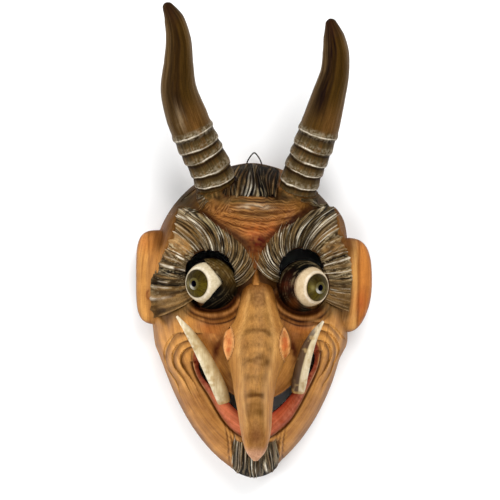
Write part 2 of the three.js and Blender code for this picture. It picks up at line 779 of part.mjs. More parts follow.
function wireSolid(grow = 0) {
  const { z, apexY, footY, spread, sunk } = WIRE;
  const route = new THREE.CurvePath();
  const corners = [
    new THREE.Vector3(-spread, footY - sunk - grow, z),
    new THREE.Vector3(-spread, footY, z),
    new THREE.Vector3(-1.2, apexY - 0.8, z),
    new THREE.Vector3(0.3, apexY, z),
    new THREE.Vector3(1.8, apexY - 0.8, z),
    new THREE.Vector3(spread + 0.3, footY, z),
    new THREE.Vector3(spread + 0.3, footY - sunk - grow, z),
  ];
  route.add(new THREE.CatmullRomCurve3(corners, false, 'chordal'));
  const sides = [0, 1, 2, 3, 4, 5].map((corner) => corner * Math.PI / 3);
  const radius = WIRE.radius + grow;
  const section = sides.map((turn) => new THREE.Vector2(radius * Math.cos(turn), radius * Math.sin(turn)));
  const tube = new THREE.ExtrudeGeometry(new THREE.Shape(section), {
    steps: 14,
    extrudePath: route.curves[0],
    bevelEnabled: false,
  });
  return solidOf(tube);
}

// The head: everything that is carved from one block.

function maskSolid() {
  const outer = solidOf(new ParametricGeometry(outerPoint, SHELL.segments, SHELL.rows + 1));
  const inner = solidOf(new ParametricGeometry(innerPoint, HOLLOW.segments, HOLLOW.rows));
  let head = outer;
  for (const ear of Object.values(EARS)) {
    head = head.add(earSolid(ear));
  }
  for (const horn of Object.values(HORNS)) {
    head = head.add(hornFootSolid(horn));
  }
  for (const lock of hairLocks()) {
    head = head.add(lock);
  }
  head = head.subtract(inner).subtract(mouthCutter());
  for (const eye of Object.values(EYES)) {
    const { x, y, radius } = eye.hole;
    head = head.subtract(uprightCylinder(x, y, radius, 40, 120));
    head = head.add(lidSolid(eye)).subtract(socketCutter(eye));
  }
  head = head.subtract(noseSolid(GAP));
  for (const horn of Object.values(HORNS)) {
    head = head.subtract(hornSolid(horn, GAP));
  }
  for (const stations of Object.values(TUSKS)) {
    head = head.subtract(tuskSolid(stations, GAP));
  }
  return head.subtract(wireSolid(GAP));
}

function noseWithNostrils() {
  return noseSolid().subtract(nostrilCutter(LEFT)).subtract(nostrilCutter(RIGHT));
}

function paint(color, roughness, metalness = 0) {
  return new THREE.MeshStandardMaterial({ color, roughness, metalness });
}

const woodPaint = paint(0xb07a42, 0.6);
const nosePaint = paint(0xb8834a, 0.6);
const hornPaint = paint(0x4c3820, 0.55);
const eyePaint = paint(0xdccdb0, 0.4);
const tuskPaint = paint(0xc9b48a, 0.5);
const ironWire = paint(0x26241f, 0.5, 0.9);

const carnivalMask = new THREE.Group();
carnivalMask.add(meshOf('mask', maskSolid(), woodPaint));
carnivalMask.add(meshOf('nose', noseWithNostrils(), nosePaint));
for (const side of ['left', 'right']) {
  carnivalMask.add(meshOf(`horn_${side}`, hornSolid(HORNS[side]), hornPaint));
  carnivalMask.add(meshOf(`eye_${side}`, ballSolid(EYES[side]), eyePaint));
  carnivalMask.add(meshOf(`tusk_${side}`, tuskSolid(TUSKS[side]), tuskPaint));
}
carnivalMask.add(meshOf('hanging_wire', wireSolid(), ironWire));

export default carnivalMask;
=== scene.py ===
import math
from types import SimpleNamespace as Sizes

import bmesh
import bpy
import numpy as np
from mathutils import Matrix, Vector
from numpy import arctan2, clip, cos, hypot, maximum, pi, sin, where
from numpy.linalg import norm


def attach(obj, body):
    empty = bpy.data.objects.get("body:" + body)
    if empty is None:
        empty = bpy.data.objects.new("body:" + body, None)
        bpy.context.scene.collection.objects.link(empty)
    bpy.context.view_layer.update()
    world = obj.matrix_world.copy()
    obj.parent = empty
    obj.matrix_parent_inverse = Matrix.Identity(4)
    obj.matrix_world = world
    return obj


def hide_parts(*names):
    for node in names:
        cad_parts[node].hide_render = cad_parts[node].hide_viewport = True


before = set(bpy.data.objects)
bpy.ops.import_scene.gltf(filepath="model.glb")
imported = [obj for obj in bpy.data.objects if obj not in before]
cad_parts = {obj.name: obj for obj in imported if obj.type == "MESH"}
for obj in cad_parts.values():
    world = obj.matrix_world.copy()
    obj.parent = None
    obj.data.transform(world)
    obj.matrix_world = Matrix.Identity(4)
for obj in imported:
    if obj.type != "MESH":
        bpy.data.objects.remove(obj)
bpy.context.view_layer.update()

# The carved mask, drawn in millimetres and turned into metres when a mesh is made.
# X runs across the face, Y up to the crown, Z out of the face, and the back rim lies at Z = 0.

MM = 0.001
DEGREE = pi / 180
LEFT = -1
RIGHT = 1
GAP = 0.3
LEVEL = 1.12
SHEEN = 0.014

SHELL = Sizes(x=-2.6, pole_y=-60, widest_y=-40, half_width=95, crown_y=76, chin_y=-219)
UPPER_OUTLINE = (1.75, 2.4)
LOWER_OUTLINE = (1.67, 1.83)
CHEEK_LEAN = Sizes(y=-85, shift=1.8, spread=35)
CHIN = Sizes(x=1.5, y=-192.5, radius=26.5)
DOME = Sizes(height=88, wall=13, fullness=2.5)

EYES = {
    "left": Sizes(
        side=LEFT, hole=(-41.3, -29.8, 23.5), lid=(-38.8, -37.1, 76, 23.7),
        ball=(-44.3, -37.0, 82, 19.1), turn_out=39, turn_down=2,
    ),
    "right": Sizes(
        side=RIGHT, hole=(44.0, -26.2, 21.5), lid=(45.2, -39.4, 76, 23.4),
        ball=(50.2, -40.2, 82, 18.7), turn_out=39, turn_down=4,
    ),
}
PUPIL = Sizes(radius=2.9, depth=6, ring_radius=5.3, ring_height=0.9)
IRIS = Sizes(half_angle=46, sunk=0.8)
LEFT_OPENING = Sizes(x=-28.4, y=-35.7, reach=50, half_angle=46, bulge=2)
RIGHT_OPENING = (57.8, -41.5, 21)

SMILE = Sizes(x=2, y=-105, tilt=5, outer=57, pinch=9, inner=41, flare=8)
LIP = Sizes(thin=2.5, full=18.5, height=5, crease=2.4)
FOLDS = Sizes(radii=(12.4, 20, 28), depth=2.4, lean=27, reach=52)
MOUTH_CORNERS = {LEFT: (-55, -108.5), RIGHT: (59, -102)}

# Soft swellings: across, up, height, spread
CHEEKS = ((61, -84, 9, 20), (80, -92, 5, 13), (40, -100, -5, 14))
MIDDLE_SWELLINGS = ((1.5, -197, 11, 20), (2, -22, -4, 14))

BROW = Sizes(height=9, temple=3, edge=44, peak=118, spread=27, rise=28, temple_reach=14, sweep=28)
SOCKET = Sizes(depth=10, radius=31, bag=1.5, bag_radius=30)
FOREHEAD = Sizes(x=5.0, crest=2.2, wrinkles=(27, 20, 13), depth=1.3, end_y=37, reach=50)
GOATEE = Sizes(from_y=-177, half_width=22, height=4)

# Stations of an axis: across, up, out, radius
HORNS = {
    "left": Sizes(
        stations=(
            (-33.3, 48.5, 49, 18.0), (-40.9, 70.6, 58, 18.4), (-51.2, 90.7, 66, 18.9),
            (-62.6, 117.5, 74, 19.2), (-69.8, 142.0, 80, 16.8), (-69.8, 166.0, 84, 13.6),
            (-69.8, 187.0, 87, 11.7), (-73.8, 206.0, 91, 9.2), (-81.6, 221.0, 94, 3.6),
        ),
        rings=(11.0, 23.1, 38.7, 49.1, 61.7),
    ),
    "right": Sizes(
        stations=(
            (39.2, 43.5, 49, 17.0), (45.6, 66.5, 58, 17.5), (53.4, 86.0, 66, 17.6),
            (61.6, 110.0, 73, 17.9), (69.0, 136.0, 79, 15.6), (74.6, 158.0, 82, 13.2),
            (75.4, 176.0, 85, 12.2), (73.4, 191.0, 88, 9.6), (69.8, 206.5, 91, 3.6),
        ),
        rings=(13.5, 28.0, 39.5, 51.0, 65.0),
    ),
}
HORN_FOOT = Sizes(radius=20.2, flare=11, length=22, sunk=15)
TUSKS = {
    "left": (
        (-28.2, -146.0, 76, 5.8), (-31.4, -136.0, 83, 6.7), (-39.0, -119.0, 90, 6.5),
        (-47.4, -102.5, 93, 5.8), (-59.1, -83.2, 95, 4.0), (-71.0, -67.6, 95, 1.0),
    ),
    "right": (
        (40.8, -136.5, 76, 5.8), (41.8, -127.5, 83, 6.9), (44.8, -112.8, 90, 6.6),
        (49.8, -96.1, 93, 5.6), (56.6, -82.3, 95, 3.6), (63.6, -72.2, 95, 1.0),
    ),
}

# Down the nose: middle, place, half width, front, back
NOSE = (
    (3.6, -36.0, 9.0, 84, 78), (3.5, -42.5, 14.5, 89, 78), (3.5, -56.0, 18.5, 96, 78.5),
    (3.4, -71.0, 22.5, 105, 79), (2.6, -84.0, 29.0, 114, 79), (2.2, -98.0, 30.0, 122, 79),
    (1.6, -111.0, 26.5, 128, 79), (0.6, -125.0, 22.5, 133, 81), (0.2, -138.0, 20.0, 135, 92),
    (0.8, -154.0, 17.2, 134, 101), (1.5, -170.0, 15.0, 130, 102), (1.6, -182.0, 12.2, 126, 103),
    (1.5, -192.0, 8.2, 121, 105), (1.3, -199.4, 2.0, 115, 111),
)
NOSE_BAND = 0.5
NOSE_WING = 0.15
NOSTRIL = Sizes(x=2.4, aside=26.0, y=-92.8, half_width=4.4, half_height=16)

EARS = {
    "left": Sizes(side=LEFT, x=-84, y=-32.2, square=4.2, taper=0),
    "right": Sizes(side=RIGHT, x=84, y=-39.5, square=3.2, taper=0.3),
}
EAR = Sizes(width=27, height=44.4, z=32, half=14, hollow=3.5, lean=5)
WIRE = Sizes(radius=0.65, z=9, apex_y=85.4, foot_y=76, spread=6.6, sunk=9)


# Small formulas


def ease(low, high, value):
    """0 at low and 1 at high, smoothly; high may be the smaller number."""
    t = clip((value - low) / (high - low), 0, 1)
    return t * t * (3 - 2 * t)


def bell(value, width):
    return np.exp(-((value / width) ** 2))


def dab(across, up, size):
    """A round soft spot."""
    return bell(hypot(across, up), size)


def mix(a, b, t):
    return a + (b - a) * t


def smooth_max(a, b, soft):
    h = clip(0.5 + 0.5 * (a - b) / soft, 0, 1)
    return mix(b, a, h) + soft * h * (1 - h)


def power(value, exponent):
    return np.sign(value) * abs(value) ** exponent


def patches(x, y, size, seed):
    """Smooth uneven patches between 0 and 1, about as large as size."""
    lattice = np.random.default_rng(seed).random((64, 64))
    gx = np.asarray(x) / size + 17.3
    gy = np.asarray(y) / size + 31.7
    ix = np.floor(gx).astype(int)
    iy = np.floor(gy).astype(int)
    fx = ease(0, 1, gx - ix)
    rows = [mix(lattice[ix % 64, k % 64], lattice[(ix + 1) % 64, k % 64], fx) for k in (iy, iy + 1)]
    return mix(*rows, ease(0, 1, gy - iy))


def wander(x, y, size, seed, reach=1.0):
    """Patches that go to both sides of 0, reach apart."""
    return reach * (patches(x, y, size, seed) - 0.5)


def turns(count):
    return np.arange(count) * 2 * pi / count


def unit(vectors):
    return vectors / norm(vectors, axis=-1, keepdims=True)


def xyz(*parts):
    return np.stack(np.broadcast_arrays(*parts), -1)


def light_of(*shade):
    """The light in a paint that is named by how it looks on the lit mask."""
    shade = np.array(shade) / 255
    light = where(shade <= 0.04045, shade / 12.92, ((shade + 0.055) / 1.055) ** 2.4)
    return clip((light - SHEEN) / LEVEL, 0.0015, 1)


class Coat:
    """Paint on many points: a ground, then one shade after another by how much it covers."""

    def __init__(self, red, green, blue, like):
        self.light = np.broadcast_to(light_of(red, green, blue), (*np.shape(like), 3)).copy()

    def __call__(self, red, green, blue, cover):
        cover = clip(cover, 0, 1)[..., None]
        self.light = self.light * (1 - cover) + light_of(red, green, blue) * cover

    def under(self, other, cover):
        self.light = mix(self.light, other.light, cover[:, None])


# The face's outline and its dome


def outline_term(x, y):
    """Under 1 inside the outline: two half eggs, with a round chin."""
    upper = y > SHELL.widest_y
    reach = where(upper, SHELL.crown_y - SHELL.widest_y, SHELL.widest_y - SHELL.chin_y)
    lean = CHEEK_LEAN.shift * bell(y - CHEEK_LEAN.y, CHEEK_LEAN.spread)
    across = abs(x + lean - SHELL.x) / SHELL.half_width
    along = abs(y - SHELL.widest_y) / reach
    eggs = [across**wide + along**tall for wide, tall in (UPPER_OUTLINE, LOWER_OUTLINE)]
    return np.minimum(where(upper, *eggs), hypot(x - CHIN.x, y - CHIN.y) / CHIN.radius)


def outline_table():
    angles = np.linspace(-pi, pi, 2161)
    near = 0 * angles
    far = near + 300
    for _ in range(34):
        middle = (near + far) / 2
        inside = outline_term(SHELL.x + middle * cos(angles), SHELL.pole_y + middle * sin(angles)) < 1
        near = where(inside, middle, near)
        far = where(inside, far, middle)
    return angles, near


OUTLINE = outline_table()


def outline_radius(angle):
    return np.interp(angle, *OUTLINE, period=2 * pi)


def dome(angle, s, inset=0):
    """The smooth dome: places, and the directions that face out of it."""
    radius = outline_radius(angle) - inset
    height = DOME.height - inset
    plan = sin(s * pi / 2) ** (2 / DOME.fullness)
    rise = maximum(0, cos(s * pi / 2)) ** (2 / DOME.fullness)
    out = radius * plan
    place = xyz(SHELL.x + out * cos(angle), SHELL.pole_y + out * sin(angle), height * rise)
    slope = plan ** (DOME.fullness - 1) / radius
    return place, unit(xyz(slope * cos(angle), slope * sin(angle), rise ** (DOME.fullness - 1) / height))


def from_pole(x, y):
    """The angle of a place round the dome's top, and its distance as a share of the outline's."""
    angle = arctan2(y - SHELL.pole_y, x - SHELL.x)
    return angle, hypot(y - SHELL.pole_y, x - SHELL.x) / outline_radius(angle)


def polar_of(x, y):
    """Where a place on the face lies on the dome: its angle, and how far down from the top."""
    angle, plan = from_pole(x, y)
    return angle, np.arcsin(clip(plan, 0, 0.999) ** (DOME.fullness / 2)) / (pi / 2)


# The carving, as heights over the dome


def around_eye(x, y, eye):
    inward = -eye.side * (x - eye.hole[0])
    up = y - eye.hole[1]
    angle = np.degrees(arctan2(up, inward))
    return hypot(inward, up), where(angle < -90, angle + 360, angle)


def brow_edge(angle):
    swept = BROW.rise * bell(angle - BROW.peak, BROW.spread)
    return BROW.edge + swept + BROW.temple_reach * ease(130, 180, angle)


def brow_at(x, y, eye):
    r, angle = around_eye(x, y, eye)
    arch = ease(-30, 20, angle) * ease(165, 125, angle)
    temple = ease(120, 160, angle) * ease(245, 228, angle)
    nose_side = 0.35 * ease(-45, -20, angle) * ease(20, -10, angle)
    edge = brow_edge(angle)
    return ease(edge + 2, edge - 12, r) * (BROW.height * (arch + nose_side) + BROW.temple * temple)


def bag_reach(x, y, eye):
    """Distance from the lid's middle, with the unevenness of the creases under it."""
    reach = hypot(x - eye.lid[0], y - eye.lid[1])
    return reach + wander(x, y, 16, 51, 3.4) * ease(24, 28, reach)


def socket_at(x, y, eye):
    plain = hypot(x - eye.lid[0], y - eye.lid[1])
    past = bag_reach(x, y, eye) - SOCKET.bag_radius
    _, angle = around_eye(x, y, eye)
    lower = 1 - 0.85 * ease(-20, 25, angle) * ease(215, 165, angle)
    under = clip(ease(212, 240, angle) + ease(-35, -62, angle), 0, 1)
    groove = bell(past - 3.4, 1.2) + 0.8 * bell(past + 3.4, 1.0)
    groove = groove + 0.5 * bell(past - 7.4, 1.0) * patches(x, y, 12, 52)
    sunk = SOCKET.depth * np.exp(-((plain / SOCKET.radius) ** 4))
    return lower * (SOCKET.bag * bell(past, 3.5) * under - sunk) - 0.9 * groove * under


def smile_at(x, y):
    raw = arctan2(x - SMILE.x, SMILE.y - y)
    return hypot(x - SMILE.x, y - SMILE.y), raw - SMILE.tilt * DEGREE * sin(raw) ** 2


def mouth_outer(angle):
    return SMILE.outer - SMILE.pinch * sin(2 * angle) ** 2


def mouth_inner(angle):
    return SMILE.inner + SMILE.flare * (1 - cos(angle)) ** 2


def lip_outer(angle):
    return mouth_outer(angle) + LIP.thin + LIP.full * cos(angle) ** 2


def lip_at(x, y):
    r, angle = smile_at(x, y)
    start = mouth_outer(angle) - 3
    end = lip_outer(angle)
    swell = LIP.height * sin(pi * clip((r - start) / (end - start), 0, 1)) ** 0.7
    return where(abs(angle) > pi / 2, 0, swell - LIP.crease * bell(r - end, 1.6))


def fold_distance(x, y, side):
    """Distance from the line out of a mouth corner, and how much of the folds shows."""
    dx = -FOLDS.lean * side
    dy = -FOLDS.reach
    out = x - MOUTH_CORNERS[side][0]
    up = y - MOUTH_CORNERS[side][1]
    t = clip((out * dx + up * dy) / (dx * dx + dy * dy), 0, 1)
    distance = hypot(out - t * dx, up - t * dy)
    beside = (-side * dy * out + side * dx * up) / math.hypot(dx, dy)
    shown = maximum(ease(-1, 12, side * out + 0.45 * up), ease(3, 9, beside)) * ease(0.75, -0.15, t)
    return distance, shown * ease(38, 26, distance) * ease(0.97, 0.88, outline_term(x, y))


def folds_at(x, y, side):
    """Cheek folds, cut as terraces: each drops off softly towards the mouth."""
    distance, shown = fold_distance(x, y, side)
    height = 0
    for radius in FOLDS.radii:
        d = distance - radius + wander(x, y, 17, 5, 6.0)
        terrace = where(d > 0, 1.2 * np.exp(-abs(d) / 5.5), -1.3 * np.exp(-abs(d) / 3.8))
        height = height + 0.5 * FOLDS.depth * terrace * (1.15 - 0.018 * radius)
    return height * shown


def forehead_level(x, y):
    """The forehead's lines draw together at both sides: which line passes here, by its height."""
    across = clip((x - FOREHEAD.x) / FOREHEAD.reach, -1.15, 1.15)
    return FOREHEAD.end_y + (y - FOREHEAD.end_y) / (1 - 0.66 * across**2)


def forehead_at(x, y):
    across = abs(x - FOREHEAD.x)
    level = forehead_level(x, y) + wander(x, y, 12, 15, 2.2)
    height = FOREHEAD.crest * bell(level - 36.5, 3.6) * ease(34, 16, across)
    for line in FOREHEAD.wrinkles:
        height = height - FOREHEAD.depth * bell(level - line, 1.6)
    return height * ease(50, 24, across)


def forehead_lines(x, y):
    """Fine gouge lines between the forehead's wrinkles, from 0 on a ridge to 1 in a line."""
    level = forehead_level(x, y) + wander(x, y, 13, 16, 5.5) + wander(x, y, 4.5, 17, 2.4)
    lines = 0.5 + 0.5 * cos(2 * pi * level / 2.7)
    shown = ease(60, 44, abs(x - 5)) * ease(2, 9, level) * ease(54, 46, y)
    return lines**1.7 * shown * (0.35 + 0.9 * patches(x / 2.5, y, 4, 18))


def goatee_at(x, y):
    half = GOATEE.half_width * (0.75 + 0.25 * ease(GOATEE.from_y, SHELL.chin_y, y))
    shown = ease(GOATEE.from_y + 2, GOATEE.from_y - 7, y)
    return shown * ease(half + 3, half - 3, abs(x - 1.5)) * GOATEE.height


def swellings(x, y, forms):
    return sum(height * dab(x - across, y - up, spread) for across, up, height, spread in forms)


def carving_at(x, y):
    height = lip_at(x, y) + forehead_at(x, y) + goatee_at(x, y)
    for eye in EYES.values():
        height = height + brow_at(x, y, eye) + socket_at(x, y, eye) + folds_at(x, y, eye.side)
        height = height + swellings(eye.side * x, y, CHEEKS)
    return height + swellings(x, y, MIDDLE_SWELLINGS)


def stroke(x, y, start, end, depth, width, bend=0.0):
    """One gouge stroke from start to end, bowed to one side."""
    dx = end[0] - start[0]
    dy = end[1] - start[1]
    length = math.hypot(dx, dy)
    t = ((x - start[0]) * dx + (y - start[1]) * dy) / length**2
    aside = ((x - start[0]) * dy - (y - start[1]) * dx) / length - bend * 4 * t * (1 - t)
    return -depth * ease(-0.06, 0.12, t) * ease(1.06, 0.86, t) * bell(aside, width)


def fine_cuts(x, y):
    """Strokes of the small gouge that the solids leave out."""
    height = wander(x, y, 7.5, 11, 0.55) + wander(x, y, 3.1, 12, 0.30) - 0.55 * forehead_lines(x, y)
    for step in range(3):
        for lean in (-1, 1):
            start = (1.5 + lean * (23 + 3.2 * step), -171 + 3 * step)
            end = (1.5 + lean * (16 + 4.6 * step), -203 - 1.5 * step)
            height = height + stroke(x, y, start, end, 1.6, 1.1, lean * 1.5)
    for step in range(4):
        low = -34 - 1.5 * step
        high = 1.2 * step
        height = height + stroke(x, y, (-9 - 3.6 * step, low), (1 - 2.2 * step, high - 23), 1.1, 0.9, 1.2)
        height = height + stroke(x, y, (15 + 3.6 * step, low), (6.5 + 2.4 * step, high - 24), 1.1, 0.9, -1.2)
    return height


# What the hair covers


def fan_edge(angle):
    """How far out the brow's hair reaches."""
    return brow_edge(angle) * 1.03 + 1.5 * ease(150, 175, angle) + 6 * ease(196, 216, angle)


def fan_limit(angle, side):
    """Where the brow's hair ends before the ear."""
    low = ease(172, 212, angle) if side == LEFT else ease(185, 228, angle)
    return 49 + 19 * ease(136, 108, angle) + 50 * ease(118, 100, angle) + 19 * low


def brow_cover(x, y, eye):
    r, angle = around_eye(x, y, eye)
    edge = np.minimum(fan_edge(angle) * 0.97, fan_limit(angle, eye.side) * 1.02)
    return ease(-42, -32, angle) * ease(236, 224, angle) * ease(edge - 1.5, edge - 5, r)


def crown_cover(x, y):
    return ease(-33, -27, x) * ease(27, 21, x) * ease(42, 46, y + 0.006 * (x + 4) ** 2)


def goatee_cover(x, y):
    return ease(-182, -186, y) * ease(23, 19, abs(x - 1.5))


def hair_cover(x, y):
    brows = sum(brow_cover(x, y, eye) for eye in EYES.values())
    return clip(crown_cover(x, y) + goatee_cover(x, y) + brows, 0, 1)


def head_point(angle, s, lift, detail=False):
    """A place on the carved face, lifted by so much along the way the carving stands out."""
    place, facing = dome(angle, s)
    x = place[..., 0]
    y = place[..., 1]
    height = carving_at(x, y)
    if detail:
        height = height + fine_cuts(x, y) - 3.6 * hair_cover(x, y)
    height = height * ease(0.98, 0.86, s) + lift
    return place + unit(facing * (0.5, 0.5, 1.0) + (0, 0, 0.35)) * height[..., None]


def foot_frame(horn):
    start = np.array(horn.stations[0][:3])
    ahead = unit(np.array(horn.stations[1][:3]) - start)
    return start, ahead, unit(np.cross((0, 0, 1), ahead))


def foot_radius(travelled):
    return HORN_FOOT.radius + HORN_FOOT.flare * clip(1 - travelled / HORN_FOOT.length, 0, 1) ** 1.8


def foot_height(x, y, horn):
    """How high the flared foot of a horn stands at a place, or 0 beside it."""
    start, ahead, across = foot_frame(horn)
    level = math.hypot(ahead[0], ahead[1])
    aside = (x - start[0]) * across[0] + (y - start[1]) * across[1]
    along = ((x - start[0]) * ahead[0] + (y - start[1]) * ahead[1]) / level
    far = along
    for _ in range(9):
        up = np.sqrt(maximum(0, foot_radius(far + HORN_FOOT.sunk) ** 2 - aside**2))
        far = 0.5 * far + 0.5 * (along + up * ahead[2]) / level
    travelled = far + HORN_FOOT.sunk
    on_foot = (travelled > 0) & (travelled < HORN_FOOT.length) & (up > 0)
    return where(on_foot, start[2] + far * ahead[2] + up * level, 0)


def feet_height(x, y):
    return maximum(*(foot_height(x, y, horn) for horn in HORNS.values()))


def narrowing(up, ear):
    """How much an ear draws in towards its lobe."""
    return 1 - ear.taper * clip(-up, 0, 1) ** 1.6


def ear_hollow(plan):
    return EAR.hollow * bell(plan - 0.62, 0.16)


def ear_height(x, y):
    """How high the front of an ear stands at a place, or 0 beside it."""
    height = 0 * x
    for ear in EARS.values():
        up = (y - ear.y) / EAR.height
        out = ear.side * (x - ear.x) / EAR.width / narrowing(up, ear)
        plan = (abs(out) ** ear.square + abs(up) ** ear.square) ** (1 / ear.square)
        front = maximum(0, 1 - plan**4) ** 0.35
        z = EAR.z + EAR.half * front - ear_hollow(plan) - EAR.lean * clip(out, 0, 1)
        height = where(plan < 1, maximum(height, z), height)
    return height


def surface_height(x, y):
    """How high the carved face stands over the rim at a place."""
    _, plan = from_pole(x, y)
    rise = maximum(0, 1 - plan**DOME.fullness) ** (1 / DOME.fullness)
    return DOME.height * rise + carving_at(x, y) * ease(1, 0.8, plan)


# Meshes


def new_object(name, data):
    made = bpy.data.objects.new(name, data)
    bpy.context.scene.collection.objects.link(made)
    return made


def mesh_object(name, points, faces):
    mesh = bpy.data.meshes.new(name)
    mesh.from_pydata((np.asarray(points) * MM).tolist(), [], faces)
    mesh.update()
    return new_object(name, mesh)


def turned_outwards(made):
    """Turns a closed mesh's faces outwards if its volume comes out negative."""
    body = bmesh.new()
    body.from_mesh(made.data)
    if body.calc_volume(signed=True) < 0:
        made.data.flip_normals()
    body.free()
    return made


def quads(grid, after):
    """Faces between the rows of a grid of points and the points after them."""
    return np.stack((grid[:-1], after[:-1], after[1:], grid[1:]), -1).reshape(-1, 4)


def tube(name, rings, first, last):
    """A closed body from rings of points, with a point in the middle of each end."""
    count = rings[..., 0].size
    grid = np.arange(count).reshape(rings.shape[:2])
    after = np.roll(grid, -1, 1)
    faces = quads(grid, after).tolist()
    for a, b, c, d in np.stack((grid[0], after[0], grid[-1], after[-1]), -1).tolist():
        faces += [(count, b, a), (count + 1, c, d)]
    return turned_outwards(mesh_object(name, np.concatenate((rings.reshape(-1, 3), [first], [last])), faces))


def slab(name, low, high):
    """A closed body between two outlines."""
    count = len(low)
    faces = [list(range(count))[::-1], list(range(count, 2 * count))]
    faces += [[i, (i + 1) % count, count + (i + 1) % count, count + i] for i in range(count)]
    return turned_outwards(mesh_object(name, np.concatenate((low, high)), faces))


def prism(name, outline, bottom, top):
    return slab(name, *(np.column_stack((outline, np.full(len(outline), z))) for z in (bottom, top)))


def upright_cylinder(name, x, y, radius, bottom, top, sides=96):
    outline = np.column_stack((x + radius * cos(turns(sides)), y + radius * sin(turns(sides))))
    return prism(name, outline, bottom, top)


def ball(name, centre, radius, rows=40, around=80):
    tilt = np.linspace(pi / rows, pi - pi / rows, rows - 1)[:, None]
    rings = xyz(sin(tilt) * cos(turns(around)), sin(tilt) * sin(turns(around)), cos(tilt))
    return tube(name, centre + radius * rings, centre + (0, 0, radius), centre - (0, 0, radius))


def smooth_line(points, t):
    """A smooth line through points, read at t from 0 to 1."""
    points = np.asarray(points, float)
    padded = np.concatenate(([2 * points[0] - points[1]], points, [2 * points[-1] - points[-2]]))
    place = clip(t, 0, 1) * (len(points) - 1)
    index = np.minimum(place.astype(int), len(points) - 2)
    part = (place - index)[..., None]
    p0, p1, p2, p3 = (padded[index + k] for k in range(4))
    d0, d1, d2 = (np.sqrt(norm(b - a, axis=-1, keepdims=True)) for a, b in ((p0, p1), (p1, p2), (p2, p3)))
    m1 = ((p1 - p0) / d0 - (p2 - p0) / (d0 + d1) + (p2 - p1) / d1) * d1
    m2 = ((p2 - p1) / d1 - (p3 - p1) / (d1 + d2) + (p3 - p2) / d2) * d1
    return p1 + m1 * part + (3 * p2 - 3 * p1 - 2 * m1 - m2) * part**2 + (2 * p1 - 2 * p2 + m1 + m2) * part**3


def way_along(line):
    return np.concatenate(([0], np.cumsum(norm(np.diff(line, axis=0), axis=1))))


def girths(stations, t):
    return np.interp(t * (len(stations) - 1), np.arange(len(stations)), stations[:, 3])


def tapered(stations, around, rows, section, grow=0.0):
    """Rings of a body along a smooth line of stations, the places of its two ends, and the way along."""
    stations = np.array(stations)
    t = np.linspace(0, 1, rows)
    centre = smooth_line(stations[:, :3], t)
    ahead = unit(np.gradient(centre, axis=0))
    across = unit(np.cross((0, 0, 1), ahead))
    radius = girths(stations, t) + grow
    wide, high = (radius[:, None] * reach for reach in section(turns(around)))
    rings = centre[:, None] + across[:, None] * wide[..., None]
    rings = rings + np.cross(ahead, across)[:, None] * high[..., None]
    rings[0] = rings[0] - ahead[0] * grow
    ends = (centre[0] - ahead[0] * grow, centre[-1] + ahead[-1] * 0.35 * radius[-1])
    return rings, ends, way_along(centre)


def carve(made, cutters=(), joined=(), kept=()):
    """Joins bodies to a piece, cuts others out of it and keeps what lies in the last ones."""
    works = ["UNION"] * len(joined) + ["DIFFERENCE"] * len(cutters) + ["INTERSECT"] * len(kept)
    tools = (*joined, *cutters, *kept)
    for body, work in zip(tools, works):
        step = made.modifiers.new(body.name, "BOOLEAN")
        step.operation = work
        step.solver = "MANIFOLD"
        step.object = body
    bake_modifiers(made)
    for body in tools:
        bpy.data.meshes.remove(body.data)
    return made


def bake_modifiers(made):
    """Swaps the piece's mesh for its finished one and drops its modifiers."""
    bpy.context.view_layer.update()
    graph = bpy.context.evaluated_depsgraph_get()
    done = made.evaluated_get(graph)
    finished = bpy.data.meshes.new_from_object(done, preserve_all_data_layers=True, depsgraph=graph)
    rough = made.data
    made.modifiers.clear()
    made.data = finished
    finished.name = made.name
    bpy.data.meshes.remove(rough)
    return made


def read(layer, field, width=1):
    values = np.empty(len(layer) * width, dtype=np.float32)
    layer.foreach_get(field, values)
    return values.astype(float).reshape(-1, width).T


def points_of(made):
    return read(made.data.vertices, "co", 3) / MM


def values_of(made, *names):
    return (read(made.data.attributes[name].data, "value")[0] for name in names)


def lay_vectors(made, name, *parts):
    layer = made.data.attributes.new(name, "FLOAT_VECTOR", "POINT")
    layer.data.foreach_set("vector", np.column_stack(parts).astype(np.float32).ravel())


def finish_piece(made, colours, sharp, material, node=None):
    """Paints a piece, softens its edges under a limit, and puts it in its place in the object."""
    layer = made.data.color_attributes.new("paint", "FLOAT_COLOR", "POINT")
    rgba = np.column_stack((clip(colours, 0, 1), np.ones(len(colours))))
    layer.data.foreach_set("color", rgba.astype(np.float32).ravel())
    dress(made, sharp, material, node)


def dress(made, sharp, material, node=None):
    made.data.shade_smooth()
    made.data.set_sharp_from_angle(angle=sharp * DEGREE)
    made.data.materials.clear()
    made.data.materials.append(material)
    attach(made, "root")
    if node:
        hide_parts(node)


# Materials


class Nodes:
    """Short words for building a tree of nodes."""

    def __init__(self, tree):
        self.tree = tree

    def feed(self, socket, value):
        if hasattr(value, "is_output"):
            self.tree.links.new(value, socket)
        else:
            socket.default_value = value

    def add(self, kind, *values, out=0, **words):
        """Adds a node. A small word sets a field of it, and a word with a capital feeds a socket."""
        node = self.tree.nodes.new(kind)
        for word, value in words.items():
            if word[0].islower():
                setattr(node, word, value)
            else:
                self.feed(node.inputs[word.replace("_", " ")], value)
        for socket, value in zip(node.inputs, values):
            self.feed(socket, value)
        return node.outputs[out] if node.outputs else node

    def maths(self, kind, *values):
        return self.add("ShaderNodeMath", *values, operation=kind)

    def noise(self, where, scale, detail=4.0, rough=0.55, warp=0.0):
        words = dict(Scale=scale, Detail=detail, Roughness=rough, Distortion=warp)
        return self.add("ShaderNodeTexNoise", Vector=where, **words)


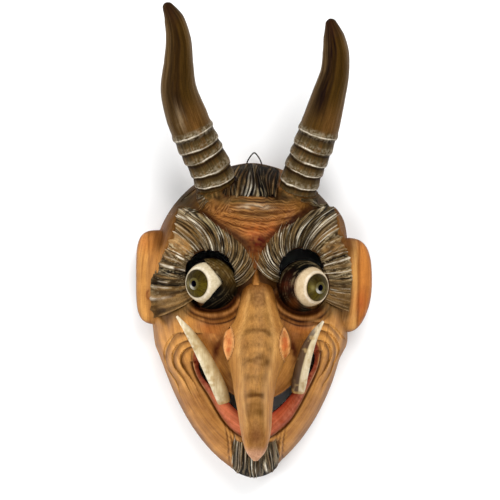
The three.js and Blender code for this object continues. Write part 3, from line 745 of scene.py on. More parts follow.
class Finish(Nodes):
    """A material in the making."""

    def __init__(self, name, **settings):
        self.material = bpy.data.materials.new(name)
        self.material.use_nodes = True
        super().__init__(self.material.node_tree)
        self.shader = self.tree.nodes["Principled BSDF"].inputs
        for word, value in settings.items():
            self.shader[word.replace("_", " ")].default_value = value
        self.place = self.add("ShaderNodeTexCoord", out="Object")

    def stretched(self, where, *scale, turn=0.0):
        return self.add("ShaderNodeMapping", Vector=where, Scale=scale, Rotation=(0, 0, turn))

    def attribute(self, name, out="Color"):
        return self.add("ShaderNodeAttribute", attribute_name=name, out=out)

    def ramp(self, pattern, *stops):
        made = self.add("ShaderNodeValToRGB", pattern)
        elements = made.node.color_ramp.elements
        while len(elements) < len(stops):
            elements.new(0.5)
        for element, (place, *colour) in zip(elements, stops):
            element.position = place
            element.color = (*colour, 1)
        return made

    def tint(self, colour, amount, pattern, *stops):
        """Darkens and lightens a colour along a pattern."""
        words = dict(Factor=amount, A=colour, B=self.ramp(pattern, *stops))
        return self.add("ShaderNodeMix", data_type="RGBA", blend_type="MULTIPLY", out="Result", **words)

    def bump(self, height, strength, distance, **below):
        return self.add("ShaderNodeBump", Strength=strength, Distance=distance, Height=height, **below)

    def range(self, value, low, high, **words):
        return self.add("ShaderNodeMapRange", Value=value, To_Min=low, To_Max=high, **words)

    def finish(self, colour, normal=None, roughness=None, shine=None):
        found = {"Base Color": colour, "Normal": normal, "Roughness": roughness}
        if shine:
            found["Specular IOR Level"] = self.range(colour, 0.02, shine, From_Max=0.14)
        for label, value in found.items():
            if value:
                self.feed(self.shader[label], value)
        return self.material


def wood_finish(name, grain_strength=1.0, facet=1.0):
    """Stained and waxed limewood: long grain, fine pores, and the flats of the knife."""
    w = Finish(name)
    along = w.attribute("grain", "Vector")
    grain = w.noise(along, 1.0, 5, 0.62, 0.3)
    bands = w.noise(along, 0.30, 4, 0.55, 0.8)
    cloud = w.noise(w.place, 42, 5, 0.62)
    fleck = w.noise(w.place, 720, 3, 0.7)
    colour = w.attribute("paint")
    colour = w.tint(colour, 0.72 * grain_strength, grain, (0.30, 0.66, 0.58, 0.48), (0.62, 1.10, 1.09, 1.06))
    colour = w.tint(colour, 0.75 * grain_strength, bands, (0.34, 0.74, 0.66, 0.55), (0.64, 1.14, 1.12, 1.08))
    colour = w.tint(colour, 0.8, cloud, (0.33, 0.76, 0.68, 0.58), (0.66, 1.14, 1.12, 1.08))
    flecks = ((0.30, 0.72, 0.66, 0.58), (0.46, 1, 1, 1), (0.60, 1, 1, 1), (0.72, 1.2, 1.18, 1.12))
    colour = w.tint(colour, 0.7, fleck, *flecks)
    flats = w.stretched(w.place, 1, 0.45, 1, turn=0.4)
    flats = w.add("ShaderNodeTexVoronoi", feature="SMOOTH_F1", Vector=flats, Scale=150)
    normal = w.bump(flats, 0.22 * facet, 0.0016)
    normal = w.bump(grain, 0.30, 0.0006, Normal=normal)
    normal = w.bump(fleck, 0.12, 0.0004, Normal=normal)
    return w.finish(colour, normal, w.range(cloud, 0.42, 0.66), 0.2)


def hair_finish(name):
    w = Finish(name)
    speck = w.noise(w.place, 950, 4, 0.7)
    cloud = w.noise(w.place, 90, 4, 0.6)
    colour = w.tint(w.attribute("paint"), 0.8, speck, (0.36, 0.52, 0.48, 0.42), (0.62, 1.2, 1.19, 1.17))
    colour = w.tint(colour, 0.75, cloud, (0.35, 0.74, 0.69, 0.62), (0.66, 1.16, 1.14, 1.1))
    return w.finish(colour, w.bump(speck, 0.4, 0.0006), w.range(cloud, 0.5, 0.75), 0.12)


def horn_finish(name):
    w = Finish(name)
    along = w.attribute("streak", "Vector")
    streak = w.noise(w.stretched(along, 1, 0.05, 1), 26, 6, 0.65, 0.2)
    broad = w.noise(w.stretched(along, 1, 0.12, 1), 4, 3, 0.5, 0.4)
    speck = w.noise(w.place, 800, 3, 0.7)
    colour = w.tint(w.attribute("paint"), 0.8, streak, (0.32, 0.50, 0.46, 0.40), (0.66, 1.30, 1.26, 1.2))
    colour = w.tint(colour, 0.8, broad, (0.35, 0.66, 0.61, 0.54), (0.66, 1.25, 1.2, 1.12))
    colour = w.tint(colour, 0.7, speck, (0.35, 0.8, 0.78, 0.74), (0.68, 1.14, 1.14, 1.14))
    normal = w.bump(speck, 0.14, 0.0005, Normal=w.bump(streak, 0.35, 0.0009))
    return w.finish(colour, normal, w.range(streak, 0.38, 0.6), 0.2)


def eye_finish(name):
    w = Finish(name)
    speck = w.noise(w.place, 500, 4, 0.6)
    cloud = w.noise(w.place, 110, 4, 0.6)
    colour = w.tint(w.attribute("paint"), 0.8, speck, (0.36, 0.84, 0.80, 0.74), (0.64, 1.06, 1.06, 1.06))
    colour = w.tint(colour, 0.7, cloud, (0.36, 0.80, 0.74, 0.64), (0.60, 1.04, 1.04, 1.04))
    return w.finish(colour, w.bump(speck, 0.18, 0.0005), w.range(cloud, 0.32, 0.5), 0.15)


def tusk_finish(name):
    w = Finish(name, Specular_IOR_Level=0.22)
    long = w.noise(w.stretched(w.place, 1, 0.1, 0.3, turn=0.5), 480, 5, 0.6, 0.3)
    cloud = w.noise(w.place, 90, 5, 0.62)
    colour = w.tint(w.attribute("paint"), 0.75, long, (0.34, 0.74, 0.66, 0.52), (0.60, 1.05, 1.05, 1.04))
    colour = w.tint(colour, 0.75, cloud, (0.36, 0.74, 0.66, 0.52), (0.58, 1.06, 1.06, 1.04))
    return w.finish(colour, w.bump(long, 0.22, 0.0006), w.range(cloud, 0.40, 0.6))


def iron_finish(name):
    w = Finish(name, Metallic=0.9)
    rust = w.noise(w.place, 700, 4, 0.6)
    colour = w.ramp(rust, (0.35, 0.012, 0.011, 0.010), (0.7, 0.05, 0.04, 0.032))
    return w.finish(colour, w.bump(rust, 0.3, 0.0003), w.range(rust, 0.35, 0.65))


def floor_finish(name):
    w = Finish(name, Roughness=0.9, Specular_IOR_Level=0.1)
    return w.finish(w.ramp(w.noise(w.place, 3, 2, 0.5), (0.3, 0.93, 0.93, 0.93), (0.7, 0.95, 0.95, 0.95)))


# The head


def rough_head(around=520, rows=152):
    angle, s = np.broadcast_arrays(turns(around) - pi, (np.linspace(0, 1, rows + 1)[1:] ** 0.9)[:, None])
    points = head_point(angle, s, 0, detail=True)
    x, y, z = (points[..., k] for k in range(3))
    for eye in EYES.values():
        lid_x, lid_y, lid_z, radius = eye.lid
        d = hypot(x - lid_x, y - lid_y)
        lid = lid_z + np.sqrt(maximum(0, radius**2 - d**2))
        soft = where(d < radius + 3, smooth_max(z, lid, 4), z)
        z[...] = mix(z, soft, ease(radius + 3, radius - 1, d))
    top = head_point(np.array([0.0]), np.array([1e-4]), 0)[0]
    return tube("head", points, top, (SHELL.x, SHELL.pole_y, 0))


def hollow_cutter(around=128):
    place, _ = dome(*np.broadcast_arrays(turns(around), np.linspace(0.02, 1, 44)[:, None]), DOME.wall)
    below = place[-1:] * (1, 1, 0) - (0, 0, 4)
    top = (SHELL.x, SHELL.pole_y, DOME.height - DOME.wall)
    return tube("hollow", np.concatenate((place, below)), top, (SHELL.x, SHELL.pole_y, -4))


def mouth_cutter():
    reach = 89 * DEGREE
    angle = reach * np.linspace(-1, 1, 73)
    middle = (mouth_outer(angle) + mouth_inner(angle)) / 2
    half = (mouth_outer(angle) - mouth_inner(angle)) / 2 * np.sqrt(1 - abs(angle / reach) ** 5)
    turned = angle + SMILE.tilt * DEGREE * sin(angle) ** 2
    lower, upper = (
        np.column_stack((SMILE.x + r * sin(turned), SMILE.y - r * cos(turned)))
        for r in (middle + half, middle - half)
    )
    return prism("mouth", np.concatenate((lower, upper[-2:0:-1])), 20, 110)


def gaze_frame(eye):
    """Across, up and ahead, as the eye looks."""
    out = eye.turn_out * DEGREE
    down = eye.turn_down * DEGREE
    gaze = np.array((eye.side * sin(out) * cos(down), -sin(down), cos(out) * cos(down)))
    aside = unit(np.cross((0, 1, 0), gaze))
    return aside, np.cross(gaze, aside), gaze


def turned_ball(eye, profile, name, around=96):
    """A body turned round the line of sight, from a profile of radius and height."""
    aside, up, gaze = gaze_frame(eye)
    radius, height = np.array(profile).T
    line = eye.ball[:3] + height[:, None] * gaze
    turn = turns(around)[:, None]
    rings = line[1:-1, None] + radius[1:-1, None, None] * (cos(turn) * aside + sin(turn) * up)
    return tube(name, rings, line[0], line[-1])


def socket_cutter(eye):
    radius = eye.ball[3] + GAP
    angles = np.linspace(pi, 0, 48)
    return turned_ball(eye, np.column_stack((radius * sin(angles), radius * cos(angles))), "socket")


def front_of_ball(eye):
    """A block before the eye, square to its look."""
    aside, up, gaze = gaze_frame(eye)
    corners = np.array([a * aside + b * up for a, b in ((-45, -45), (45, -45), (45, 45), (-45, 45))])
    return slab("front_of_ball", *(eye.ball[:3] + corners + far * gaze for far in (-4, 56)))


def lid_opening(eye):
    """The slot in the lid: a wedge with bowed sides on one eye, round on the other."""
    if eye.side == LEFT:
        steps = np.linspace(0, 1, 13)
        rise = LEFT_OPENING.reach * math.tan(LEFT_OPENING.half_angle * DEGREE) * steps
        rise = rise + 4 * LEFT_OPENING.bulge * steps * (1 - steps)
        across = LEFT_OPENING.x - LEFT_OPENING.reach * steps
        upper, lower = (np.column_stack((across, LEFT_OPENING.y + way * rise)) for way in (1, -1))
        opening = prism("lid_opening", np.concatenate((upper, lower[:0:-1])), 45, 115)
    else:
        opening = upright_cylinder("lid_opening", *RIGHT_OPENING, 45, 115)
    lid = ball("lid_ball", np.array(eye.lid[:3]), eye.lid[3] + 2.5)
    return carve(opening, kept=(front_of_ball(eye), lid))


def sight_hole(eye):
    """The crescent that stays open between the lid and the brow."""
    x, y, z, radius = eye.lid
    hole = upright_cylinder("sight_hole", *eye.hole, 40, 130)
    stem = upright_cylinder("lid_stem", x, y, radius - 0.02, 30, z, 80)
    return carve(hole, (ball("lid_ball", np.array((x, y, z)), radius), stem))


def ear_body(ear, around=140, rows=56):
    ax, ay = (power(way, 2 / ear.square) for way in (cos(turns(around)), sin(turns(around))))
    tilt = np.linspace(0, pi, rows + 2)[1:-1][:, None]
    plan = sin(tilt) ** 0.5
    front = power(cos(tilt), 0.7)
    x = ear.x + ear.side * EAR.width * ax * plan * narrowing(ay * plan, ear)
    z = EAR.z + EAR.half * front - where(front > 0, ear_hollow(plan), 0) - EAR.lean * clip(ax * plan, 0, 1)
    rings = xyz(x, ear.y + EAR.height * ay * plan, z)
    return tube("ear", rings, rings[0].mean(0), rings[-1].mean(0))


def horn_foot(horn):
    start, ahead, across = foot_frame(horn)
    turn = turns(96)[:, None]
    travelled = np.linspace(0, HORN_FOOT.length, 20)
    axis = start + (travelled - HORN_FOOT.sunk)[:, None] * ahead
    wave = 1 + 0.012 * sin(9 * turn) + 0.010 * sin(23 * turn + 1)
    round_it = cos(turn) * across + sin(turn) * np.cross(ahead, across)
    rings = axis[:, None] + foot_radius(travelled)[:, None, None] * wave * round_it
    return tube("horn_foot", rings, axis[0], axis[-1])


def horn_seat(horn):
    rings, ends, _ = tapered(horn.stations, 64, 60, lambda turn: (cos(turn), 0.94 * sin(turn)), GAP)
    return tube("horn_seat", rings[:26], ends[0], rings[25].mean(0))


def tusk_section(turn):
    edge = 1 + 0.12 * cos(3 * turn - pi / 2)
    return edge * cos(turn), edge * sin(turn)


def nose_rings(rows, around, grow=0.0):
    stations = np.array(NOSE)
    count = len(stations) - 1
    t = np.linspace(0, 1, rows)
    middle, place, half = smooth_line(stations[:, [0, 1, 2]], t).T[..., None]
    front, _, back = smooth_line(stations[:, [3, 1, 4]], t).T[..., None]
    rise = 0.5 + 0.5 * power(sin(turns(around)), 0.8)
    down = (t * count)[:, None]
    banded = ease(0.15, 1, rise) * ease(-1.5, 2.5, down) * ease(12, 8, down)
    wing = bell(place - NOSTRIL.y, 19) * ease(0.85, 0.30, rise)
    wide = power(cos(turns(around)), 0.8) * mix(1, NOSE_BAND, banded) * (1 + NOSE_WING * wing)
    rings = xyz(middle + wide * (half + grow), place, mix(back - grow, front + grow, rise))
    rings[0, :, 1] += grow
    return rings, (rings[0].mean(0), rings[-1].mean(0)), rise


def carved_head():
    joined = [ear_body(ear) for ear in EARS.values()] + [horn_foot(horn) for horn in HORNS.values()]
    cutters = [hollow_cutter(), mouth_cutter()]
    for eye in EYES.values():
        cutters += [sight_hole(eye), socket_cutter(eye), lid_opening(eye)]
    rings, ends, _ = nose_rings(120, 64, GAP)
    cutters.append(tube("nose_seat", rings, *ends))
    cutters += [horn_seat(horn) for horn in HORNS.values()]
    for stations in TUSKS.values():
        rings, ends, _ = tapered(stations, 40, 60, tusk_section, GAP)
        cutters.append(tube("tusk_seat", rings, *ends))
    return carve(rough_head(), cutters, joined)


# Stain, paint, and painted shade and highlights on the head


def cavity(x, y, reach):
    """How far a place on the carving lies below its surroundings."""
    total = 0
    for across, up, share in ((1, 0, 0.25), (-1, 0, 0.25), (0, 1, 0.25), (0, -1, 0.25), (0, 0, -1)):
        there = (x + across * reach, y + up * reach)
        total = total + (carving_at(*there) + fine_cuts(*there)) * share
    return total


def paint_cheeks(wood, x, y, ax, mottle):
    wood(216, 158, 84, 0.8 * dab(abs(x) - 66, y + 96, 26))
    wood(170, 120, 62, 0.8 * ease(-112, -150, y))
    wood(160, 100, 48, 0.8 * dab(ax - 38, (y + 84) / 1.5, 16))
    wood(178, 98, 46, 0.5 * dab(ax - 44, (y + 78) / 0.8, 9) * (0.3 + mottle))
    # Painted shade in the crevice beside the nose.
    crevice = bell(ax - 36 + 0.28 * (y + 100), 4.5) * bell(y + 98, 14)
    wood(72, 36, 16, 1.1 * crevice * (0.5 + 0.7 * mottle))


def paint_forehead(wood, x, y, ax, mottle, fine):
    uneven = 0.5 + 0.7 * mottle
    forehead = ease(-14, 2, y)
    level = forehead_level(x, y)
    wood(122, 86, 46, forehead)
    wood(160, 98, 46, 0.6 * ease(0, 8, y) * ease(29, 20, level) * ease(50, 30, ax) * uneven)
    wings = bell(level - 30, 8) * ease(14, 30, ax) * ease(60, 46, ax)
    wood(98, 68, 36, 0.8 * wings * (0.4 + 0.8 * mottle))
    sides = bell(level - 27, 6) * ease(10, 24, ax) * ease(50, 38, ax)
    wood(172, 112, 52, 0.45 * sides * forehead * (0.3 + mottle))
    ochre = bell(y - 43.0, 2.2) * ease(40, 30, ax) + bell(y - 39, 4) * bell(ax - 44, 9)
    wood(150, 106, 56, 0.6 * ochre * forehead * (0.4 + 0.8 * mottle))
    beside = ease(34, 44, y) * ease(22, 34, abs(x + 2)) * (1 - 0.7 * bell(x - 48, 10) * bell(y - 43, 6))
    wood(78, 60, 38, 0.95 * beside * uneven)
    olive = bell(y - 39, 3.0) * ease(38, 24, ax) + 0.5 * bell(level - 26, 4) * ease(20, 8, ax)
    wood(82, 70, 46, 0.9 * olive)
    # Pale paint along the forehead's crest: a painted highlight.
    crest = bell(y - 34.6 + 0.008 * (x - 1) ** 2, 2.4) * ease(26, 9, ax) * (0.5 + 0.7 * patches(x, y, 5, 8))
    wood(190, 180, 160, 0.9 * crest * (0.25 + 0.6 * ease(0.3, 0.75, patches(x * 0.5, y * 1.6, 2.2, 7))))
    lines = forehead_lines(x, y)
    wood(58, 38, 19, 0.75 * ease(0.25, 0.9, lines) * (0.35 + 0.9 * mottle))
    wood(206, 148, 84, 0.35 * ease(0.7, 1, 1 - lines) * mottle * forehead)
    for line in FOREHEAD.wrinkles:
        wood(64, 42, 20, 0.6 * bell(level - line, 1.2) * ease(46, 24, ax) * (0.3 + fine))
    wood(92, 64, 34, 0.75 * ease(30, 52, abs(x)) * ease(-4, 16, y))


def paint_between_brows(wood, x, y, ax, mottle, fine):
    wood(90, 52, 23, dab((x - 4) / 1.3, y + 6, 13))
    flame = dab((x - 17) / 0.7, (y - 5) / 1.6, 7) + 0.6 * dab((x - 1) / 1.6, y - 11, 6)
    wood(208, 112, 46, 0.75 * flame * (0.3 + mottle))
    red = dab((x - 4.5) / 1.3, (y + 1) / 1.1, 7.5)
    wood(86, 30, 14, 1.1 * red * (0.3 + 0.8 * ease(0.40, 0.62, patches(x, y, 2.4, 9))))
    wood(46, 16, 8, 0.7 * red * ease(0.55, 0.75, patches(x, y, 1.7, 19)))
    wood(92, 60, 31, 0.85 * dab((x - 4) / 1.5, (y + 24) / 1.1, 12))
    wood(178, 124, 70, 0.6 * dab(x - 4, y + 16, 7) * ease(0.4, 0.8, fine))
    wood(120, 40, 18, 0.6 * dab(x - 5, (y + 21) * 1.8, 5))
    flank = bell(ax - 24, 8) * ease(-88, -70, y) * ease(-30, -42, y)
    wood(126, 80, 40, 0.75 * flank * (0.5 + 0.7 * mottle))


def paint_face(x, y):
    """The open face, before the lids, the lips and the ears."""
    ax = abs(x - 1)
    mottle = patches(x, y, 9, 3) * 0.6 + patches(x, y, 3.6, 4) * 0.4
    fine = patches(x, y, 2.2, 6)
    wood = Coat(188, 134, 70, x)
    paint_cheeks(wood, x, y, ax, mottle)
    paint_forehead(wood, x, y, ax, mottle, fine)
    paint_between_brows(wood, x, y, ax, mottle, fine)
    below = ease(2, -14, y)
    wood(150, 100, 50, 0.55 * ease(0.5, 0.9, mottle) * below)
    wood(222, 166, 96, 0.35 * ease(0.45, 0.1, mottle) * below)
    # Darker in the hollows and lighter on the ridges of the carving: partly the stain that stays in hollows
    # and rubs off high points, partly painted shade and highlight.
    near = cavity(x, y, 1.3)
    wide = cavity(x, y, 4.0)
    wood(74, 44, 20, 0.62 * ease(0.04, 0.42, near))
    wood(96, 60, 28, 0.55 * ease(0.2, 1.5, wide))
    wood(230, 178, 104, 0.40 * ease(0.05, 0.4, -near) * (0.4 + 0.6 * below))
    wood(218, 162, 88, 0.30 * ease(0.3, 1.6, -wide) * below)
    # Darker towards the outline, less so beside the ears: partly patina, partly painted shade where the dome
    # turns away.
    beside_ear = bell(y + 36, 36) ** 2
    wood(104, 72, 38, 0.6 * ease(0.90, 0.99, outline_term(x, y)) * (1 - 0.9 * beside_ear))
    wood(196, 142, 78, 0.6 * ease(0.80, 0.90, outline_term(x, y)) * beside_ear * (0.4 + mottle))
    return wood


def lid_cover(x, y, z, eye):
    """1 on the surface of the lid's ball."""
    lid_x, lid_y, lid_z, radius = eye.lid
    off = abs(np.sqrt((x - lid_x) ** 2 + (y - lid_y) ** 2 + (z - lid_z) ** 2) - radius)
    return ease(1.4, 0.5, off) * (z > lid_z - 8)


def paint_lid(x, y, eye):
    """Dark lids with fine light scratches that follow the ball, and a painted highlight along the upper rim.
    """
    out = x - eye.lid[0]
    up = y - eye.lid[1]
    reach = hypot(out, up)
    upper = ease(-5, 8, up)
    if eye.side == LEFT:
        lid = Coat(20, 14, 7, x)
        lid(62, 52, 32, upper)
        lid(88, 72, 44, 0.8 * ease(4, 18, out) * bell(up - 8, 12))
        lid(96, 76, 44, 0.7 * bell(reach - 16, 4) * upper)
        arc = mix(reach, 0.72 * (out - 9) + abs(up) * 0.69, 0.6)
    else:
        lid = Coat(34, 18, 8, x)
        lid(26, 27, 18, upper)
        lid(84, 46, 20, 0.55 * bell(out + 15, 7) * bell(up - 2, 9) * (0.3 + patches(x, y, 5, 4)))
        lid(104, 60, 30, 0.5 * dab(out + 8, up + 16, 6))
        arc = mix(reach, hypot(x - RIGHT_OPENING[0], y - RIGHT_OPENING[1]), 0.6)
    patchiness = ease(0.30, 0.75, patches(np.degrees(arctan2(up, out)) / 34, arc * 0.6, 1, 8))
    lines = 0.5 + 0.5 * sin(arc * 3.1 + 2.4 * patches(x, y, 7, 4))
    lid(170, 156, 120, 0.34 * lines**5 * patchiness * (0.45 + 0.55 * upper))
    lid(8, 6, 3, 0.5 * (1 - lines) ** 4)
    # Painted highlight along the upper rim of the lid, broken in patches.
    lid(150, 136, 104, 0.35 * bell(reach - eye.lid[3] + 0.6, 0.7) * ease(-10, 6, up) * patchiness)
    return lid


def paint_around_eye(wood, x, y, z, eye):
    reach = bag_reach(x, y, eye)
    under = ease(eye.lid[1] + 4, eye.lid[1] - 12, y)
    shading_under_lid = (0.55 + 0.7 * patches(x, y, 6, 53)) * under
    # Painted shade close under the lid and in a broad band below the bag, with a painted highlight on the
    # bag's crest.
    wood(72, 46, 23, 1.1 * bell(reach - 26.0, 7.0) * under)
    wood(108, 68, 34, 0.9 * bell(reach - 34, 5) * shading_under_lid)
    wood(190, 134, 76, 0.4 * bell(reach - 30.2, 1.4) * shading_under_lid)
    # Dark lines in the creases under the eye: partly stain, partly painted shade.
    for radius, width in ((33.4, 1.2), (26.4, 1.0), (37.4, 0.8)):
        broken = 0.3 + 1.0 * patches(x, y, 11, int(radius))
        wood(44, 27, 13, 0.8 * bell(reach - radius, width) * under * broken)

    r, angle = around_eye(x, y, eye)
    past = r - brow_edge(angle)
    wood(50, 38, 20, 0.9 * brow_cover(x, y, eye))
    # Dark band along the brow's upper edge: partly stain, partly the painted shadow of the raised brow.
    wood(50, 36, 18, 0.85 * bell(past + 0.5, 4.5) * ease(20, 50, angle) * ease(118, 92, angle))
    wood(166, 110, 54, 0.8 * bell(past - 5, 5) * ease(128, 140, angle) * (angle < 172))
    low = ease(205, 215, angle) * ease(246, 236, angle) * ease(58, 46, r)
    wood(104, 84, 54, 0.7 * low * ease(27, 33, r))
    wood.under(paint_lid(x, y, eye), lid_cover(x, y, z, eye))

    distance, shown = fold_distance(x, y, eye.side)
    for radius in FOLDS.radii:
        d = distance - radius + wander(x, y, 17, 5, 6.0)
        # Painted shadow under each fold's edge on the mouth side, and a painted highlight on its crest.
        wood(86, 54, 26, 0.55 * shown**1.3 * bell(d + 1.8, 2.0))
        wood(232, 178, 104, 0.4 * shown * bell(d - 2.2, 2.4))
    wood(134, 100, 60, 0.6 * dab(eye.side * x - 86, (y + 66) / 1.5, 11))


def paint_lips(wood, x, y, depth):
    r, angle = smile_at(x, y)
    in_arc = abs(angle) < 100 * DEGREE
    past = r - mouth_outer(angle)
    end = r - lip_outer(angle)
    lip = Coat(190, 104, 70, x)
    lip(152, 66, 38, ease(0, 36, x))
    lip(96, 32, 18, ease(40, 70, abs(angle) / DEGREE))
    lip(116, 42, 24, 0.8 * bell(past, 3.0))
    # Painted highlight in broken streaks along the swell of the lip.
    lip_highlight_streaks = patches(angle * 70, r * 0.35, 1.4, 21)
    lip(214, 134, 102, 0.55 * lip_highlight_streaks * bell(mix(past, end, 0.62), 5))
    lip(136, 62, 36, 0.5 * ease(0.5, 0.9, patches(x, y, 6, 23)))
    lip(130, 70, 40, 0.6 * bell(end + 1.5, 1.8))
    cover = ease(-4, -3, past) * ease(-0.4, -1.8, end + wander(x, y, 5, 22, 0.9)) * in_arc
    wood.under(lip, cover * (depth < 9))
    wood(82, 48, 24, 0.7 * bell(end - 0.4, 1.1) * in_arc)
    wood(206, 152, 84, 0.4 * bell(end - 3.4, 1.6) * in_arc)
    wood(104, 64, 32, 0.55 * bell(r - mouth_inner(angle) + 2.5, 2.5) * in_arc)


def paint_ear(wood, x, y, z, ear):
    out = ear.side * (x - ear.x)
    up = y - ear.y
    on_ear = ease(0.5, 4, out) * (z < 50) * (abs(up) < EAR.height + 1)
    mottle = patches(x, y, 8, 31)
    tone = Coat(202, 150, 84, x)
    tone(178, 124, 64, 0.5 * mottle)
    if ear.side == LEFT:
        tone(182, 126, 62, 0.8 * ease(17, 12, out + 1.5 * mottle))
        for knot_x, knot_y, size in ((-91.5, -28, 4.6), (-98, -48.5, 3.8)):
            ring = hypot((x - knot_x) / 0.7, y - knot_y) + wander(x, y, 2.5, 34, 1.2)
            tone(122, 60, 26, 0.95 * bell(ring - size, 1.1))
            tone(172, 108, 52, 0.5 * bell(ring, size * 0.6))
        tone(212, 132, 62, 0.5 * dab(out - 19, (up - 34) / 1.2, 9))
    else:
        tone(200, 130, 62, 0.9 * ease(12, 15.5, out + 1.5 * mottle))
        tone(226, 178, 110, 0.5 * bell(out - 10, 2.5))
        tone(196, 92, 40, 0.5 * dab(out - 16, (up + 16) / 2.0, 6))
    tone(112, 68, 28, 0.6 * bell(out - 14 - 0.02 * up, 1.1))
    # Painted shade in the crease where the top of the ear meets the head.
    tone(96, 58, 26, 0.7 * dab(out - 2, (up - 40) / 1.1, 9))
    tone(110, 66, 30, 0.55 * ease(EAR.height - 5, EAR.height, abs(up)))
    tone(88, 54, 26, 0.75 * ease(40, 28, z))
    wood.under(tone, on_ear * ease(-1, 1.5, outline_term(x, y) * 40 - 40))
    # Painted shade where the top of the ear meets the head, beside the brow.
    wood(98, 62, 31, 0.8 * dab(ear.side * x - 88, (up - 36) / 1.7, 7))


def paint_crown(wood, x, y, z):
    """The grounds under the hair, and the feet of the horns."""
    front = ease(1.01, 0.975, outline_term(x, y))
    wood(40, 33, 21, crown_cover(x, y) * front)
    wood(50, 38, 22, goatee_cover(x, y) * front)
    wood(62, 54, 36, 0.9 * (dab(x + 66, y - 42, 16) + 0.8 * dab(x - 62, y - 44, 12)))
    foot = ease(2.0, 0.8, abs(z - feet_height(x, y))) * ease(39, 45, y + 3 * patches(x, y, 4, 36))
    foot = foot * (1 - 0.85 * crown_cover(x, y))
    streak = patches(x * 0.9 + y * 0.3, y * 0.25 - x * 0.1, 1.6, 33)
    wood(72, 60, 40, 0.95 * foot)
    wood(128, 98, 60, 0.7 * foot * ease(0.45, 0.8, streak))
    wood(40, 32, 20, 0.6 * foot * ease(0.5, 0.8, patches(x, y, 5, 35)))
    tan = dab(x - 25, (y - 60) / 1.4, 5.5) + 0.6 * dab(x + 24, y - 48, 5)
    wood(150, 100, 48, 0.55 * tan * (0.4 + streak))


def paint_hollow(wood, x, y, z, normals, depth):
    """Dark paint inside, in the mouth and in the sockets."""
    outward = normals[0] * (x - SHELL.x) + normals[1] * (y - SHELL.pole_y) > 0
    wood(36, 26, 16, ease(5, 9, depth) * (z > 1) * ~(outward & (outline_term(x, y) > 0.80)))
    r, angle = smile_at(x, y)
    in_mouth = (r > mouth_inner(angle) - 1) & (r < mouth_outer(angle) + 1) & (abs(angle) < 100 * DEGREE)
    wood(24, 12, 6, in_mouth * ease(2.5, 6, depth))
    for eye in EYES.values():
        walls = (hypot(x - eye.hole[0], y - eye.hole[1]) < eye.hole[2] + 1.2) & (z > 30)
        wood(10, 8, 5, walls * ease(2, 5, depth) * (1 - lid_cover(x, y, z, eye)))


def make_head():
    head = carved_head()
    x, y, z = points_of(head)
    depth = surface_height(x, y) - z
    wood = paint_face(x, y)
    for eye in EYES.values():
        paint_around_eye(wood, x, y, z, eye)
    paint_lips(wood, x, y, depth)
    paint_crown(wood, x, y, z)
    for ear in EARS.values():
        paint_ear(wood, x, y, z, ear)
    paint_hollow(wood, x, y, z, read(head.data.vertices, "normal", 3), depth)
    angle, out = from_pole(x, y)
    lay_vectors(head, "grain", out * 80, 3.6 * cos(angle), 3.6 * sin(angle))
    finish_piece(head, wood.light, 42, wood_finish("stained_limewood"), "mask")


# Hair: rows of hollow gouge cuts with sharp ridges between them


def gouge_edges(start, end, width_at, seed):
    rng = np.random.default_rng(seed)
    edges = [start]
    while edges[-1] < end:
        edges.append(edges[-1] + width_at(edges[-1]) * rng.uniform(0.35, 1.75))
    return np.array(edges)


